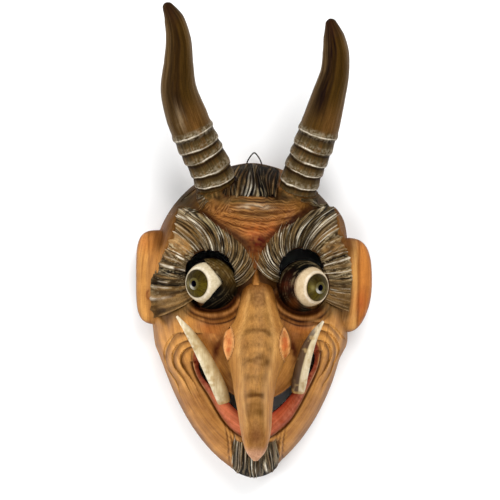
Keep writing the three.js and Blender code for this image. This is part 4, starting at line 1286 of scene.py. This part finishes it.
def gouged_hair(name, material, edges, rows, route, depth_at, look, seed, tip=3.4, ragged=0.03, over=None):
    """A closed sheet of gouge cuts. route(p, t) gives angle and s on the dome for an edge value p
    and a way along t. look(p, t, tone) gives the body's paint and how much light and dark it takes."""
    rng = np.random.default_rng(seed)
    columns = 8
    flutes = len(edges) - 1
    u = np.append(np.tile(np.arange(columns) / columns, flutes), 0.0)
    index = np.append(np.repeat(np.arange(flutes), columns), flutes)
    after = np.minimum(index + 1, flutes)
    near = where(u < 0.5, index, after)
    p, t = np.broadcast_arrays(mix(edges[index], edges[after], u), np.linspace(0, 1, rows)[:, None])
    crest = abs(2 * u - 1)

    def draw(low, high):
        return rng.uniform(low, high, flutes + 1)

    high = draw(0.3, 1.0)
    from_t = draw(-0.7, 0.42)[near]
    to_t = draw(0.45, 2.0)[near]
    keep = high[near] * ease(from_t - 0.12, from_t + 0.12, t) * ease(to_t + 0.16, to_t - 0.16, t)
    ridge = crest**1.7 * keep
    begins = draw(-ragged, ragged)
    ends = draw(0.88, 1.05)
    begin = mix(begins[index], begins[after], u)
    end = mix(ends[index], ends[after], u) - 0.045 * (1 - crest**1.5)
    angle, s = route(p, begin + (end - begin) * t)
    lumps = rng.uniform(-1, 1, flutes // 3 + 3)
    depth = depth_at(p)
    lift = depth * (maximum(ridge, 0.6 * ease(0.88, 0.97, t)) - 1) - tip * ease(0.90, 1.0, t) ** 1.5
    lumpy = 0.9 * np.interp((index + u) / 3, np.arange(len(lumps)), lumps)
    lift = lift + lumpy + 0.5 - 1.4 * ease(0.07, 0, t)
    top = head_point(angle, s, lift)
    under = head_point(angle, s, lift - 4)
    if over:
        raised = over(top[..., 0], top[..., 1])
        onto = smooth_max(top[..., 2], raised + depth + 0.2 + lift, 1.5)
        top[..., 2] = where(raised > 0, onto, top[..., 2])
    top[..., 2] = maximum(top[..., 2], 0.5)
    under[..., 2] = maximum(under[..., 2], 0.3)

    body, light, dark = look(p, t, draw(0, 1)[index] + 0 * t)
    bright = 0.15 + 1.1 * draw(0, 1)[near] ** 1.7
    bold = draw(0, 1)[near] > 0.84
    scratch = 0.45 + 0.65 * ease(0.3, 0.7, patches(p * 1.1, t * 9, 1, seed + 6))
    beside = (1 - crest) * (edges[after] - edges[index] + 1e-6) / np.diff(edges).mean() + 0 * t
    width = ease(where(bold, 0.62, 0.40), where(bold, 0.24, 0.12), beside)
    stroke = 0.06 + 1.2 * ease(0.40, 0.62, patches(near * 3.0, t * 4.2, 1, seed + 5))
    line = width * keep * stroke * scratch * where(bold, 1.3, bright)
    crossing = ease(0.66, 0.80, patches(p * 0.9 + t * 11, t * 3, 1, seed + 8)) * scratch
    patchiness = patches(p / 3, t * 6, 1, seed + 9)
    body(46, 35, 19, 0.6 * ease(0.55, 0.85, patchiness))
    body(170, 140, 96, 0.45 * ease(0.40, 0.12, patchiness))
    body(26, 20, 11, dark * ease(0.5, 0.05, ridge) * (1 - 0.6 * ease(0.84, 0.97, t)))
    streak = ease(0.60, 0.85, patches(p * 1.9, t * 5, 1, seed + 7)) * scratch
    body(200, 176, 132, 0.35 * light * streak)
    body(216, 198, 160, 0.45 * light * crossing)
    body(242, 236, 220, 1.6 * light * line)
    grid = np.arange(p.size).reshape(p.shape)
    front = quads(grid[:, :-1], grid[:, 1:])
    rim = np.concatenate((grid[0, :], grid[1:, -1], grid[-1, -2::-1], grid[-2:0:-1, 0]))
    sides = np.column_stack((np.roll(rim, -1), rim, rim + p.size, np.roll(rim, -1) + p.size))
    faces = np.concatenate((front, front[:, ::-1] + p.size, sides)).tolist()
    points = np.concatenate((top.reshape(-1, 3), under.reshape(-1, 3)))
    colours = np.concatenate((body.light.reshape(-1, 3), Coat(36, 28, 16, p.ravel()).light))
    hair = turned_outwards(mesh_object(name, points, faces))
    finish_piece(hair, colours, 60, material)


def brow_hair(side_name, material, seed):
    eye = EYES[side_name]
    hole_x, hole_y, hole_radius = eye.hole
    left = eye.side == LEFT
    start = hole_radius - 0.4

    def width_at(p):
        return 4.6 + 4.6 * bell(p - 134, 20) + 3.4 * ease(146, 168, p)

    def route(p, t):
        twist = maximum(30 - 0.29 * (maximum(p, 0) - 60), -12)
        r = mix(start, np.minimum(fan_edge(p + twist) * 1.08, fan_limit(p, eye.side)), t)
        sway = (wander(p / 13, t * 2.2, 1, seed + 1, 7.0) + wander(p / 4, t * 4.5, 1, seed + 2, 2.0)) * t
        angle = (p + twist * (r - start) / BROW.sweep + sway * (1 - 0.6 * ease(146, 176, p))) * DEGREE
        angle, s = polar_of(hole_x - eye.side * r * cos(angle), hole_y + r * sin(angle))
        return angle, np.minimum(s, 0.85 + 0.115 * ease(150, 175, p) + 0.01 * t)

    def depth_at(p):
        return 2.0 + 1.3 * bell(p - 130, 24) + 0.5 * ease(150, 165, p) - 1.3 * ease(208, 228, p)

    def look(p, t, tone):
        broad = patches(p / 13, t * 3, 1, seed + 3)
        mild = 0.4 + 0.6 * tone
        inner = ease(48, 20, p)
        body = Coat(80, 60, 34, p)
        body(142, 112, 68, tone)
        body(156, 130, 88, 0.5 * bell(p - 20, 26) * (0.3 + tone))
        orange = bell(p - 132, 22) * ease(0.08, 0.3, t) * (1 if left else 0.8 * ease(0.3, 0.6, tone))
        body(196, 148, 88, 0.95 * orange * (0.65 + 0.35 * tone))
        body(112, 86, 54, 0.8 * ease(150, 166, p) * mild)
        body(146, 112, 68, 0.75 * ease(202, 218, p))
        ends = ease(0.68, 0.92, t) * ease(150, 165, p) * ease(224, 210, p)
        body(178, 154, 118, (0.35 if left else 0.85) * ends * mild)
        if left:
            body(196, 186, 142, 0.8 * bell(p - 62, 12) * bell(t - 0.66, 0.2) * (0.4 + broad))
        else:
            body(60, 54, 38, 0.7 * bell(p - 80, 34))
            body(176, 132, 76, 0.5 * bell(p - 120, 12) * ease(0.5, 0.8, tone))
        body(40, 31, 17, 0.7 * ease(0.22, 0.0, t) * ease(160, 140, p))
        body(126, 84, 44, 0.8 * inner * ease(0.45, 0.95, t))
        light = 0.62 + 0.6 * bell(p - 84, 18) * ease(0.25, 0.6, t) + 1.0 * bell(p - 130, 20)
        light = light + 0.10 * ease(150, 165, p) - 0.60 * (ease(205, 222, p) if left else ease(212, 230, p))
        if left:
            body(208, 172, 122, 0.5 * bell(p - 124, 11) * ease(0.3, 0.6, t) * (0.3 + tone))
        else:
            body(164, 138, 96, 0.7 * bell(p - 192, 18) * mild)
            light = light + 0.9 * bell(p - 190, 18)
        dark = 0.60 + 0.40 * (1 - tone) - 0.55 * bell(p - 130, 22) - 0.35 * ease(202, 220, p)
        light = light * (0.35 + 1.1 * broad) * (1 - 0.6 * inner * ease(0.6, 0.95, t))
        return body, light, dark * (1 - 0.5 * inner * ease(0.5, 0.9, t))

    edges = gouge_edges(-30, 236, width_at, seed)
    name = f"brow_hair_{side_name}"
    gouged_hair(name, material, edges, 60, route, depth_at, look, seed, over=ear_height)


def crown_hair(material):
    def route(p, t):
        wave = 2.2 * sin(5 * t + p * 0.23) + wander(p / 6, t * 3, 1, 41, 3.6)
        s = mix(0.498 + 0.07 * (abs(p - 1) / 25) ** 2, 0.992, clip(t, -0.1, 1))
        plan = sin(s * pi / 2) ** (2 / DOME.fullness)
        reach = mix(-4.5, 1.5, t) + (p + wave) * mix(1.28, 0.90, t) - SHELL.x
        return arctan2((SHELL.crown_y - SHELL.pole_y) * plan, reach), s

    def look(p, t, tone):
        body = Coat(42, 34, 21, p)
        body(82, 66, 42, tone)
        golden = (bell(p + 17, 8) + 0.8 * bell(p - 21, 5)) * ease(0.7, 0.35, t)
        body(150, 108, 58, 0.8 * golden * (0.3 + tone))
        light = 0.12 + 0.7 * ease(0.42, 0.10, t) * bell(p - 3, 7)
        return body, light * (1 - 0.6 * ease(0.5, 0.9, t)), 0.8 + 0.2 * (1 - tone)

    edges = gouge_edges(-24, 22, lambda p: 2.0, 45)
    more = dict(tip=1.2, ragged=0.05, over=feet_height)
    gouged_hair("crown_hair", material, edges, 64, route, lambda p: 1.9, look, 46, **more)


def goatee_hair(material):
    def route(p, t):
        wave = 1.5 * sin(4 * t + p * 0.4) + wander(p / 6, t * 3, 1, 61, 3.0)
        angle = arctan2(SHELL.chin_y - SHELL.pole_y, p + wave * t - SHELL.x)
        return angle, mix(0.48 + 0.02 * cos(p * 0.9), 0.985, clip(t, -0.2, 1))

    def look(p, t, tone):
        body = Coat(98, 76, 50, p)
        body(158, 130, 98, tone)
        body(92, 86, 62, 0.7 * ease(0.68, 0.95, t))
        body(104, 80, 52, 0.6 * ease(9, 20, abs(p)))
        return body, 0.5 + 0.4 * tone, 0.8 + 0.2 * (1 - tone)

    edges = gouge_edges(-24, 27, lambda p: 3.3, 65)
    gouged_hair("goatee_hair", material, edges, 56, route, lambda p: 2.4, look, 66, tip=1.6, ragged=0.11)


def side_hair(side_name, material):
    left = side_name == "left"

    def route(p, t):
        far = p + wander(p / 5, t * 3, 1, 71, 4)
        x, y = (-49 - 20 * t - 0.55 * far, 49 - 17 * t + 0.83 * far)
        if not left:
            x, y = (46 + 23 * t + 0.5 * far, 47 - 13 * t + 0.87 * far)
        angle, s = polar_of(x, y)
        return angle, np.minimum(s, 0.80 + 0.02 * t)

    def look(p, t, tone):
        body = Coat(60, 54, 38, p)
        body(98, 86, 60, tone)
        body(150, 104, 60, 0.5 * bell(t - 0.3, 0.2) * tone)
        return body, 0.22 + 0.2 * (t > 0.6), 0.6

    edges = gouge_edges(-13 if left else -7, 5, lambda p: 2.6, 75)
    more = dict(tip=4.5, over=feet_height)
    gouged_hair(f"side_hair_{side_name}", material, edges, 44, route, lambda p: 1.3, look, 76, **more)


# Nose


def nostril_reach(x, y, side):
    """1 on the border of the almond cut that stands for a nostril, less inside it."""
    up = y - NOSTRIL.y
    across = x - NOSTRIL.x - side * NOSTRIL.aside + 0.04 * side * up
    return abs(across) / NOSTRIL.half_width + ((up + 1.2 * side) / NOSTRIL.half_height) ** 2


def paint_nose(x, y, z):
    stations = np.array(NOSE).T
    half = np.interp(-y, -stations[1], stations[2])
    out = x - np.interp(-y, -stations[1], stations[0])
    aside = abs(out / maximum(half, 1))
    cloud = patches(x, y, 6, 84)
    front = ease(0.58, 0.36, aside)
    wood = Coat(182, 134, 74, x)
    wood(196, 150, 88, 0.6 * cloud)
    wood(176, 124, 66, 0.6 * ease(0.45, 0.7, aside))
    wood(150, 106, 56, 0.6 * ease(-125, -160, y) * ease(0.8, 0.5, aside))
    stripe = bell(aside - NOSE_BAND * 1.10, 0.11) * ease(-186, -150, y) * ease(-40, -52, y)
    wood(218, 174, 112, 0.40 * stripe * (0.5 + 0.8 * cloud))
    swirl = hypot(out / 1.1, y + 52) + wander(x, y, 3, 88, 1.5)
    wood(114, 80, 46, 0.8 * front * bell(swirl, 8.5) * (0.5 + 0.6 * cloud))
    wood(88, 58, 32, 0.4 * front * (bell(swirl - 6, 1.3) + bell(swirl - 2.6, 1.1)))
    stains = ((-66, 4, 0.6), (-79, 3.0, 0.9), (-92, 4, 0.6), (-106, 4.5, 0.95), (-121, 5, 0.6))
    for place, size, cover in stains + ((-137, 2.6, 1.1), (-154, 5.5, 0.95), (-146, 2.6, 0.6)):
        curved = y - place + 0.03 * out**2 - wander(x / 2, y, 5, 86, 3.0)
        soft = 0.35 + 1.0 * patches(x / 2.4, y, 3.4, -place)
        wood(106, 75, 41, 0.85 * cover * bell(curved, size * 1.3) * front * soft)
    for place, cover in ((-79, 0.35), (-105, 0.3), (-138, 0.55)):
        thread = y - place + 0.05 * out**2 - wander(x, y, 4, 89, 2.5)
        wood(84, 52, 28, cover * bell(thread, 0.9) * front * ease(0.25, 0.7, cloud))
    speckle = ease(0.5, 0.85, patches(x / 1.5, y, 1.2, 85))
    wood(112, 80, 46, (0.12 * cloud + 0.20 * speckle) * front)
    wood(116, 74, 42, 0.8 * dab(x - 1.5, (y + 176) / 1.2, 7.5))
    wood(204, 160, 136, 0.75 * ease(-184, -193, y))
    wood(118, 76, 38, 0.6 * ease(-50, -38, y))
    for side, shade in ((LEFT, (222, 152, 92)), (RIGHT, (206, 140, 82))):
        d = nostril_reach(x, y, side)
        wood(96, 56, 26, 0.8 * bell(d - 1.22, 0.14))
        wood(*shade, 0.95 * ease(1.12, 1.0, d))
        wood(204, 98, 52, 0.65 * ease(0.9, 0.3, d) * ease(0.35, 0.7, patches(x, y, 3.2, 87)))
        wood(236, 184, 126, 0.7 * bell(d - 0.95, 0.14))
    wood(92, 56, 28, 0.75 * ease(92, 83, z) * ease(-140, -120, y))
    return wood.light


def make_nose():
    rings, ends, rise = nose_rings(200, 120)
    x, y, z = (rings[..., k] for k in range(3))
    z += (wander(x, y, 9, 81, 0.45) + wander(x, y, 3.4, 82, 0.3)) * ease(0.3, 0.8, rise)
    for side in (LEFT, RIGHT):
        d = nostril_reach(x, y, side)
        x -= side * 1.5 * ease(1.0, 0.72, d) * (side * x > 0)
        x += side * 0.5 * bell(d - 1.08, 0.07) * (side * x > 0)
    nose = tube("nose_carving", rings, *ends)
    x, y, z = points_of(nose)
    lay_vectors(nose, "grain", x * 0.8, y * 0.035, z * 0.8)
    finish_piece(nose, paint_nose(x, y, z), 42, wood_finish("nose_limewood", 0.9, 0.7), "nose")


# Horns and wire: bodies that follow a line, grown by nodes


class Growth(Nodes):
    """A tree of geometry nodes that turns a line into a body."""

    def __init__(self, name, inputs):
        super().__init__(bpy.data.node_groups.new(name, "GeometryNodeTree"))
        wanted = [("INPUT", "Geometry", "Geometry"), ("OUTPUT", "Geometry", "Geometry")]
        wanted += [("INPUT", label, kind) for label, kind, _ in inputs]
        for way, label, kind in wanted:
            self.tree.interface.new_socket(label, in_out=way, socket_type="NodeSocket" + kind)
        self.source = self.tree.nodes.new("NodeGroupInput").outputs

    def named(self, label):
        words = dict(data_type="FLOAT", Name=label)
        return self.add("GeometryNodeInputNamedAttribute", out="Attribute", **words)

    def store(self, shape, label, value):
        words = dict(data_type="FLOAT", domain="POINT", Geometry=shape, Name=label, Value=value)
        return self.add("GeometryNodeStoreNamedAttribute", **words)

    def uneven(self, across, up, along, scale, detail):
        """Noise between -0.5 and 0.5."""
        place = self.add("ShaderNodeCombineXYZ", across, up, along)
        noise = self.add("ShaderNodeTexNoise", Vector=place, Scale=scale, Detail=detail)
        return self.maths("SUBTRACT", noise, 0.5)


def grow(name, inputs, material, points, **values):
    """Grows a round body along points, ringed if they have a phase, and returns its plain mesh."""
    line = bpy.data.meshes.new(name)
    edges = [(i, i + 1) for i in range(len(points) - 1)]
    line.from_pydata((np.asarray(points) * MM).tolist(), edges, [])
    for label, numbers in values.items():
        layer = line.attributes.new(label, "FLOAT", "POINT")
        layer.data.foreach_set("value", np.asarray(numbers, dtype=np.float32))
    made = new_object(name, line)
    g = Growth(f"growth_of_{name}", inputs)
    girth = g.named("girth")
    curve = g.add("GeometryNodeMeshToCurve", Mesh=g.source["Geometry"])
    curve = g.add("GeometryNodeSetCurveRadius", Curve=curve, Radius=girth)
    profile = g.add("GeometryNodeCurvePrimitiveCircle", Resolution=g.source["Sides"], Radius=1.0)
    profile = g.store(profile, "around", g.add("GeometryNodeSplineParameter", out="Factor"))
    shape = g.add("GeometryNodeCurveToMesh", Curve=curve, Profile_Curve=profile, Fill_Caps=True)
    if "Scale" in shape.node.inputs:
        g.feed(shape.node.inputs["Scale"], girth)
    if "phase" in values:
        shape = push_rings(g, shape)
    whole = g.add("GeometryNodeRealizeInstances", Geometry=shape)
    painted = g.add("GeometryNodeSetMaterial", Geometry=whole, Material=material)
    g.add("NodeGroupOutput", painted)
    step = made.modifiers.new(g.tree.name, "NODES")
    step.node_group = g.tree
    named = {item.name: item.identifier for item in g.tree.interface.items_tree if item.in_out == "INPUT"}
    for label, _, value in inputs:
        step[named[label]] = value
    return bake_modifiers(made)


def push_rings(g, shape):
    """Raised rings with a wandering, chipped edge, and a fine ripple over the whole horn."""
    phase = g.named("phase")
    turn = g.maths("MULTIPLY", g.named("around"), 2 * pi)
    aside = g.maths("COSINE", turn)
    up = g.maths("SINE", turn)
    shift = g.uneven(aside, up, phase, g.source["Unevenness Scale"], 3.0)
    within = g.maths("ADD", phase, g.maths("MULTIPLY", shift, g.source["Ring Wander"]))
    within = g.maths("FRACT", within)
    section = g.add("ShaderNodeFloatCurve", Value=within)
    mapping = section.node.mapping
    points = mapping.curves[0].points
    points[0].location = (0.0, 0.62)
    points[1].location = (1.0, 0.62)
    edge = ((0.08, 0.94), (0.16, 1.0), (0.30, 0.82), (0.46, 0.52))
    for at in edge + ((0.64, 0.22), (0.80, 0.02), (0.88, 0.0), (0.95, 0.26)):
        points.new(*at)
    mapping.update()
    height = g.maths("MULTIPLY", g.maths("MULTIPLY", section, g.named("ringed")), g.source["Ring Height"])
    along = g.maths("MULTIPLY", g.named("travelled"), 12.0)
    ripple = g.uneven(g.maths("MULTIPLY", aside, 3.0), g.maths("MULTIPLY", up, 3.0), along, 1.6, 4.0)
    ripple = g.maths("MULTIPLY", ripple, g.source["Ripple Height"])
    normal = g.add("GeometryNodeInputNormal")
    lift = g.maths("ADD", height, ripple)
    push = g.add("ShaderNodeVectorMath", operation="SCALE", Vector=normal, Scale=lift)
    moved = g.add("GeometryNodeSetPosition", Geometry=shape, Offset=push)
    return g.store(moved, "ring_band", within)


def make_horn(side_name, material):
    horn = HORNS[side_name]
    stations = np.array(horn.stations)
    t = np.concatenate((np.linspace(0, 0.46, 190), np.linspace(0.46, 1, 90)[1:]))
    centre = smooth_line(stations[:, :3], t)
    travelled = way_along(centre)
    left = travelled[-1] - travelled
    girth = girths(stations, t) * np.sqrt(clip(1 - clip(1 - left / 3.2, 0, 1) ** 2, 0.02, 1))
    first, last = horn.rings[0], horn.rings[-1]
    knots = (first - 11, *horn.rings, last + 12)
    phase = np.interp(travelled, knots, np.arange(len(knots)) - 1.0)
    inputs = (
        ("Sides", "Int", 96), ("Ring Height", "Float", 1.25 * MM), ("Ring Wander", "Float", 0.34),
        ("Unevenness Scale", "Float", 1.1), ("Ripple Height", "Float", 1.2 * MM),
    )
    values = dict(girth=girth * MM, phase=phase, travelled=travelled * MM)
    values["ringed"] = ease(4, 10, travelled) * ease(last + 8, last + 3, travelled)
    grown = grow(f"ringed_horn_{side_name}", inputs, material, centre, **values)
    far, around = values_of(grown, "travelled", "around")
    turn = around * 2 * pi
    lay_vectors(grown, "streak", cos(turn), far / MM / 30, sin(turn))
    colours = paint_horn(grown, far / MM, around, last, side_name == "left")
    finish_piece(grown, colours, 50, material, f"horn_{side_name}")


def paint_horn(grown, far, around, last, left):
    band, shown = values_of(grown, "ring_band", "ringed")
    across, _, out = read(grown.data.vertices, "normal", 3)
    grain = patches(around * 90, far * 0.8, 1, 91)
    streak = patches(around * 60, far * 0.12, 1, 92)
    past = far - last
    plain = ease(-1, 6, past)
    horn = Coat(74, 57, 30, far)
    # Painted sheen: lighter towards both sides of the horn, where the surface turns away from the front.
    horn(112, 90, 58, 0.6 * ease(0.4, 0.95, abs(across)) * plain)
    glow = plain * ease(42, 16, past) * bell(across - (0.35 if left else 0.45), 0.55)
    horn(116, 84, 48, 0.75 * glow * (0.4 + 0.8 * streak))
    dark = bell(across + (0.12 if left else 0.35), 0.42) * ease(8, 34, past)
    horn(40, 28, 13, (0.65 if left else 0.95) * dark * (0.6 + 0.6 * streak))
    if left:
        horn(156, 136, 108, 0.6 * bell(across + 0.25, 0.14) * bell(past - 20, 12))
    horn(52, 38, 20, 0.6 * ease(far.max() - 26, far.max() - 4, far))
    horn(84, 72, 50, 0.9 * shown)
    horn(110, 80, 46, 0.6 * shown * ease(0.5, 0.9, streak))
    # Painted shadow under each ring's lip: darker down into the groove, darkest just below the white line.
    horn(60, 49, 32, 0.7 * shown * ease(0.40, 0.85, band))
    horn(40, 32, 20, 0.7 * shown * bell(band - 0.90, 0.10))
    dry = ease(0.06, 0.14, band) * ease(0.60, 0.28, band) + 1.4 * bell(past - 2.5, 3.4)
    dry = shown * clip(dry, 0, 1) * ease(0.25, 0.75, grain)
    horn(150, 142, 124, 0.75 * dry * (0.5 + 0.6 * patches(around * 9, far * 0.05, 1, 93)))
    thick = 0.014 + 0.034 * patches(around * 16, far * 0.2, 1, 94)
    line = bell(band - 0.10, thick) * (0.15 + ease(0.2, 0.6, patches(around * 11, far * 0.1, 1, 95)))
    horn(238, 234, 224, 0.85 * shown * line * (0.45 + 0.55 * ease(0.1, 0.7, out)))
    return horn.light


def make_wire(material):
    apex = WIRE.apex_y
    right = WIRE.spread + 0.3
    corners = [(-WIRE.spread, WIRE.foot_y - WIRE.sunk), (-WIRE.spread, WIRE.foot_y), (-1.2, apex - 0.8)]
    corners += [(0.3, apex), (1.8, apex - 0.8), (right, WIRE.foot_y), (right, WIRE.foot_y - WIRE.sunk)]
    points = smooth_line([(x, y, WIRE.z) for x, y in corners], np.linspace(0, 1, 90))
    wire = grow("bent_wire", [("Sides", "Int", 20)], material, points, girth=[WIRE.radius * MM] * 90)
    dress(wire, 40, material, "hanging_wire")


# Tusks and eyes


def make_tusk(side_name, material):
    rings, ends, travelled = tapered(TUSKS[side_name], 72, 130, tusk_section)
    tusk = tube(f"boar_tusk_{side_name}", rings, *ends)
    rows, around, _ = rings.shape
    far = np.append(np.repeat(travelled, around), (0, travelled[-1])) / travelled[-1]
    facing = -cos(np.append(np.tile(turns(around), rows), (0, 0)))
    x, y, _ = points_of(tusk)
    bone = Coat(196, 178, 142, far)
    # Painted shade along one side and painted light along the other: the left tusk is shaded on its right
    # side, the right tusk on its left facet.
    if side_name == "left":
        bone(160, 132, 88, 0.8 * ease(0.1, 0.8, facing))
        bone(232, 222, 198, 0.6 * ease(0.2, 0.8, -facing))
    else:
        bone(74, 50, 24, 0.95 * ease(-0.12, 0.12, -facing))
        bone(214, 200, 172, 0.7 * ease(0.0, 0.4, facing))
    bone(174, 146, 98, 0.7 * ease(0.25, 0.55, patches(x, y, 6, 95) * patches(x, y, 2.4, 96)))
    bone(244, 236, 216, 0.5 * ease(0.7, 1.0, far))
    bone(190, 148, 84, 0.6 * ease(0.06, 0.02, far))
    finish_piece(tusk, bone.light, 50, material, f"tusk_{side_name}")


def eye_profile(radius):
    """Radius, height and zone down the eye: the ball, the sunk iris, the ring and the drilled pupil."""
    rim = IRIS.half_angle * DEGREE
    sunk = radius - IRIS.sunk
    ring_top = sunk * cos(PUPIL.ring_radius / sunk) + PUPIL.ring_height
    profile = [(radius * sin(a), radius * cos(a), "white") for a in np.linspace(pi, rim, 50)]
    iris_to = math.asin((PUPIL.ring_radius + 0.5) / sunk)
    profile += [(sunk * sin(a), sunk * cos(a), "iris") for a in np.linspace(rim * 0.95, iris_to, 14)]
    middle = (PUPIL.ring_radius + PUPIL.radius) / 2
    half = (PUPIL.ring_radius - PUPIL.radius) / 2
    for a in np.linspace(-0.9, 0.9, 9):
        profile.append((middle - half * a, ring_top - 0.9 + 0.9 * cos(a * 1.2), "ring"))
    for share, drop in ((1, 0.9), (0.98, 2.5), (0.9, PUPIL.depth), (0, PUPIL.depth)):
        profile.append((PUPIL.radius * share, ring_top - drop, "pupil"))
    return profile


def make_eye(side_name, material, around=120):
    eye = EYES[side_name]
    profile = eye_profile(eye.ball[3])
    body = turned_ball(eye, [(r, z) for r, z, _ in profile], f"turned_eye_{side_name}", around)
    shades = dict(white=(206, 192, 162), iris=(84, 74, 34), ring=(92, 84, 50), pupil=(30, 26, 48))
    if side_name == "right":
        shades["white"] = (202, 180, 146)
    radii, _, zones = (np.repeat(part, around) for part in zip(*profile))
    zones = np.concatenate((zones[around:-around], ["white", "pupil"]))
    radii = np.concatenate((radii[around:-around], (0, 0)))
    turn = np.append(np.tile(turns(around), len(profile) - 2), (0, 0))
    white, iris, ring = (zones == zone for zone in ("white", "iris", "ring"))
    colours = Coat(0, 0, 0, radii)
    for zone, shade in shades.items():
        colours(*shade, zones == zone)
    colours(54, 46, 16, iris * 0.6 * ease(0.35, 0.8, patches(turn * 14, radii * 0.5, 1, 97)))
    colours(40, 34, 12, iris * 0.6 * ease(-0.2, 0.9, sin(turn)))
    # A painted highlight on the left side of the iris.
    aside = np.angle(np.exp(1j * (turn - pi)))
    colours(146, 134, 84, iris * 0.6 * bell(aside, 0.35) * bell(radii - 8.0, 2.0))
    # A painted highlight on the lower left of the pupil's ring.
    colours(196, 196, 190, 0.8 * ring * bell(np.angle(np.exp(1j * (turn + 2.2))), 0.7))
    past = radii - eye.ball[3] * sin(IRIS.half_angle * DEGREE)
    colours(250, 246, 236, white * 0.45 * bell(past - 0.9, 0.8))
    colours(44, 36, 18, 0.85 * bell(past + 0.7, 0.6) * ~white)
    # Painted shade on the lower part of the white, towards the edge of the ball.
    colours(176, 160, 130, white * 0.5 * ease(0.3, 0.9, -sin(turn)) * ease(15, 18, radii))
    finish_piece(body, colours.light, 45, material, f"eye_{side_name}")


# Camera, light and floor


def make_stage():
    corners = [(x, y, 0) for x, y in ((-4000, -4000), (4000, -4000), (4000, 4000), (-4000, 4000))]
    floor = mesh_object("floor", corners, [[0, 1, 2, 3]])
    floor.data.materials.append(floor_finish("pale_floor"))
    scene = bpy.context.scene
    lens = bpy.data.cameras.new("front_view")
    lens.sensor_width = 36
    lens.lens = 36 * 3000 / 475
    lens.clip_end = 20
    lens.dof.use_dof = False
    scene.camera = new_object("front_view", lens)
    scene.camera.location = (-3.75 * MM, -6.6 * MM, 3.0)
    aim = Vector((0, 0, 0.05))
    for name, place, size, watts in (
        ("key", (0.55, 1.5, 2.1), 1.5, 55),
        ("fill", (-2.2, 0.1, 1.5), 1.8, 38),
        ("front", (0.3, -1.8, 1.9), 1.6, 30),
    ):
        lamp = bpy.data.lights.new(name, "AREA")
        lamp.shape = "SQUARE"
        lamp.size = size
        lamp.energy = watts
        light = new_object(name, lamp)
        light.location = place
        light.rotation_euler = (aim - Vector(place)).to_track_quat("-Z", "Y").to_euler()
    scene.world = bpy.data.worlds.new("studio")
    scene.world.use_nodes = True
    sky = Nodes(scene.world.node_tree)
    background = sky.tree.nodes["Background"].inputs
    background["Color"].default_value = (1, 1, 1, 1)
    up = sky.add("ShaderNodeSeparateXYZ", sky.add("ShaderNodeTexCoord", out="Object"), out="Z")
    words = dict(From_Min=0.88, From_Max=0.96, To_Min=0.56, To_Max=0.08)
    sky.feed(background["Strength"], sky.add("ShaderNodeMapRange", Value=up, **words))
    scene.view_settings.view_transform = "Standard"


def build():
    make_stage()
    make_head()
    hair = hair_finish("gouged_hair")
    brow_hair("left", hair, 101)
    brow_hair("right", hair, 202)
    crown_hair(hair)
    goatee_hair(hair)
    side_hair("left", hair)
    side_hair("right", hair)
    make_nose()
    horn = horn_finish("stained_horn")
    tusk = tusk_finish("carved_tusk")
    eye = eye_finish("painted_eye")
    for side in ("left", "right"):
        make_horn(side, horn)
        make_tusk(side, tusk)
        make_eye(side, eye)
    make_wire(iron_finish("dark_iron"))


build()
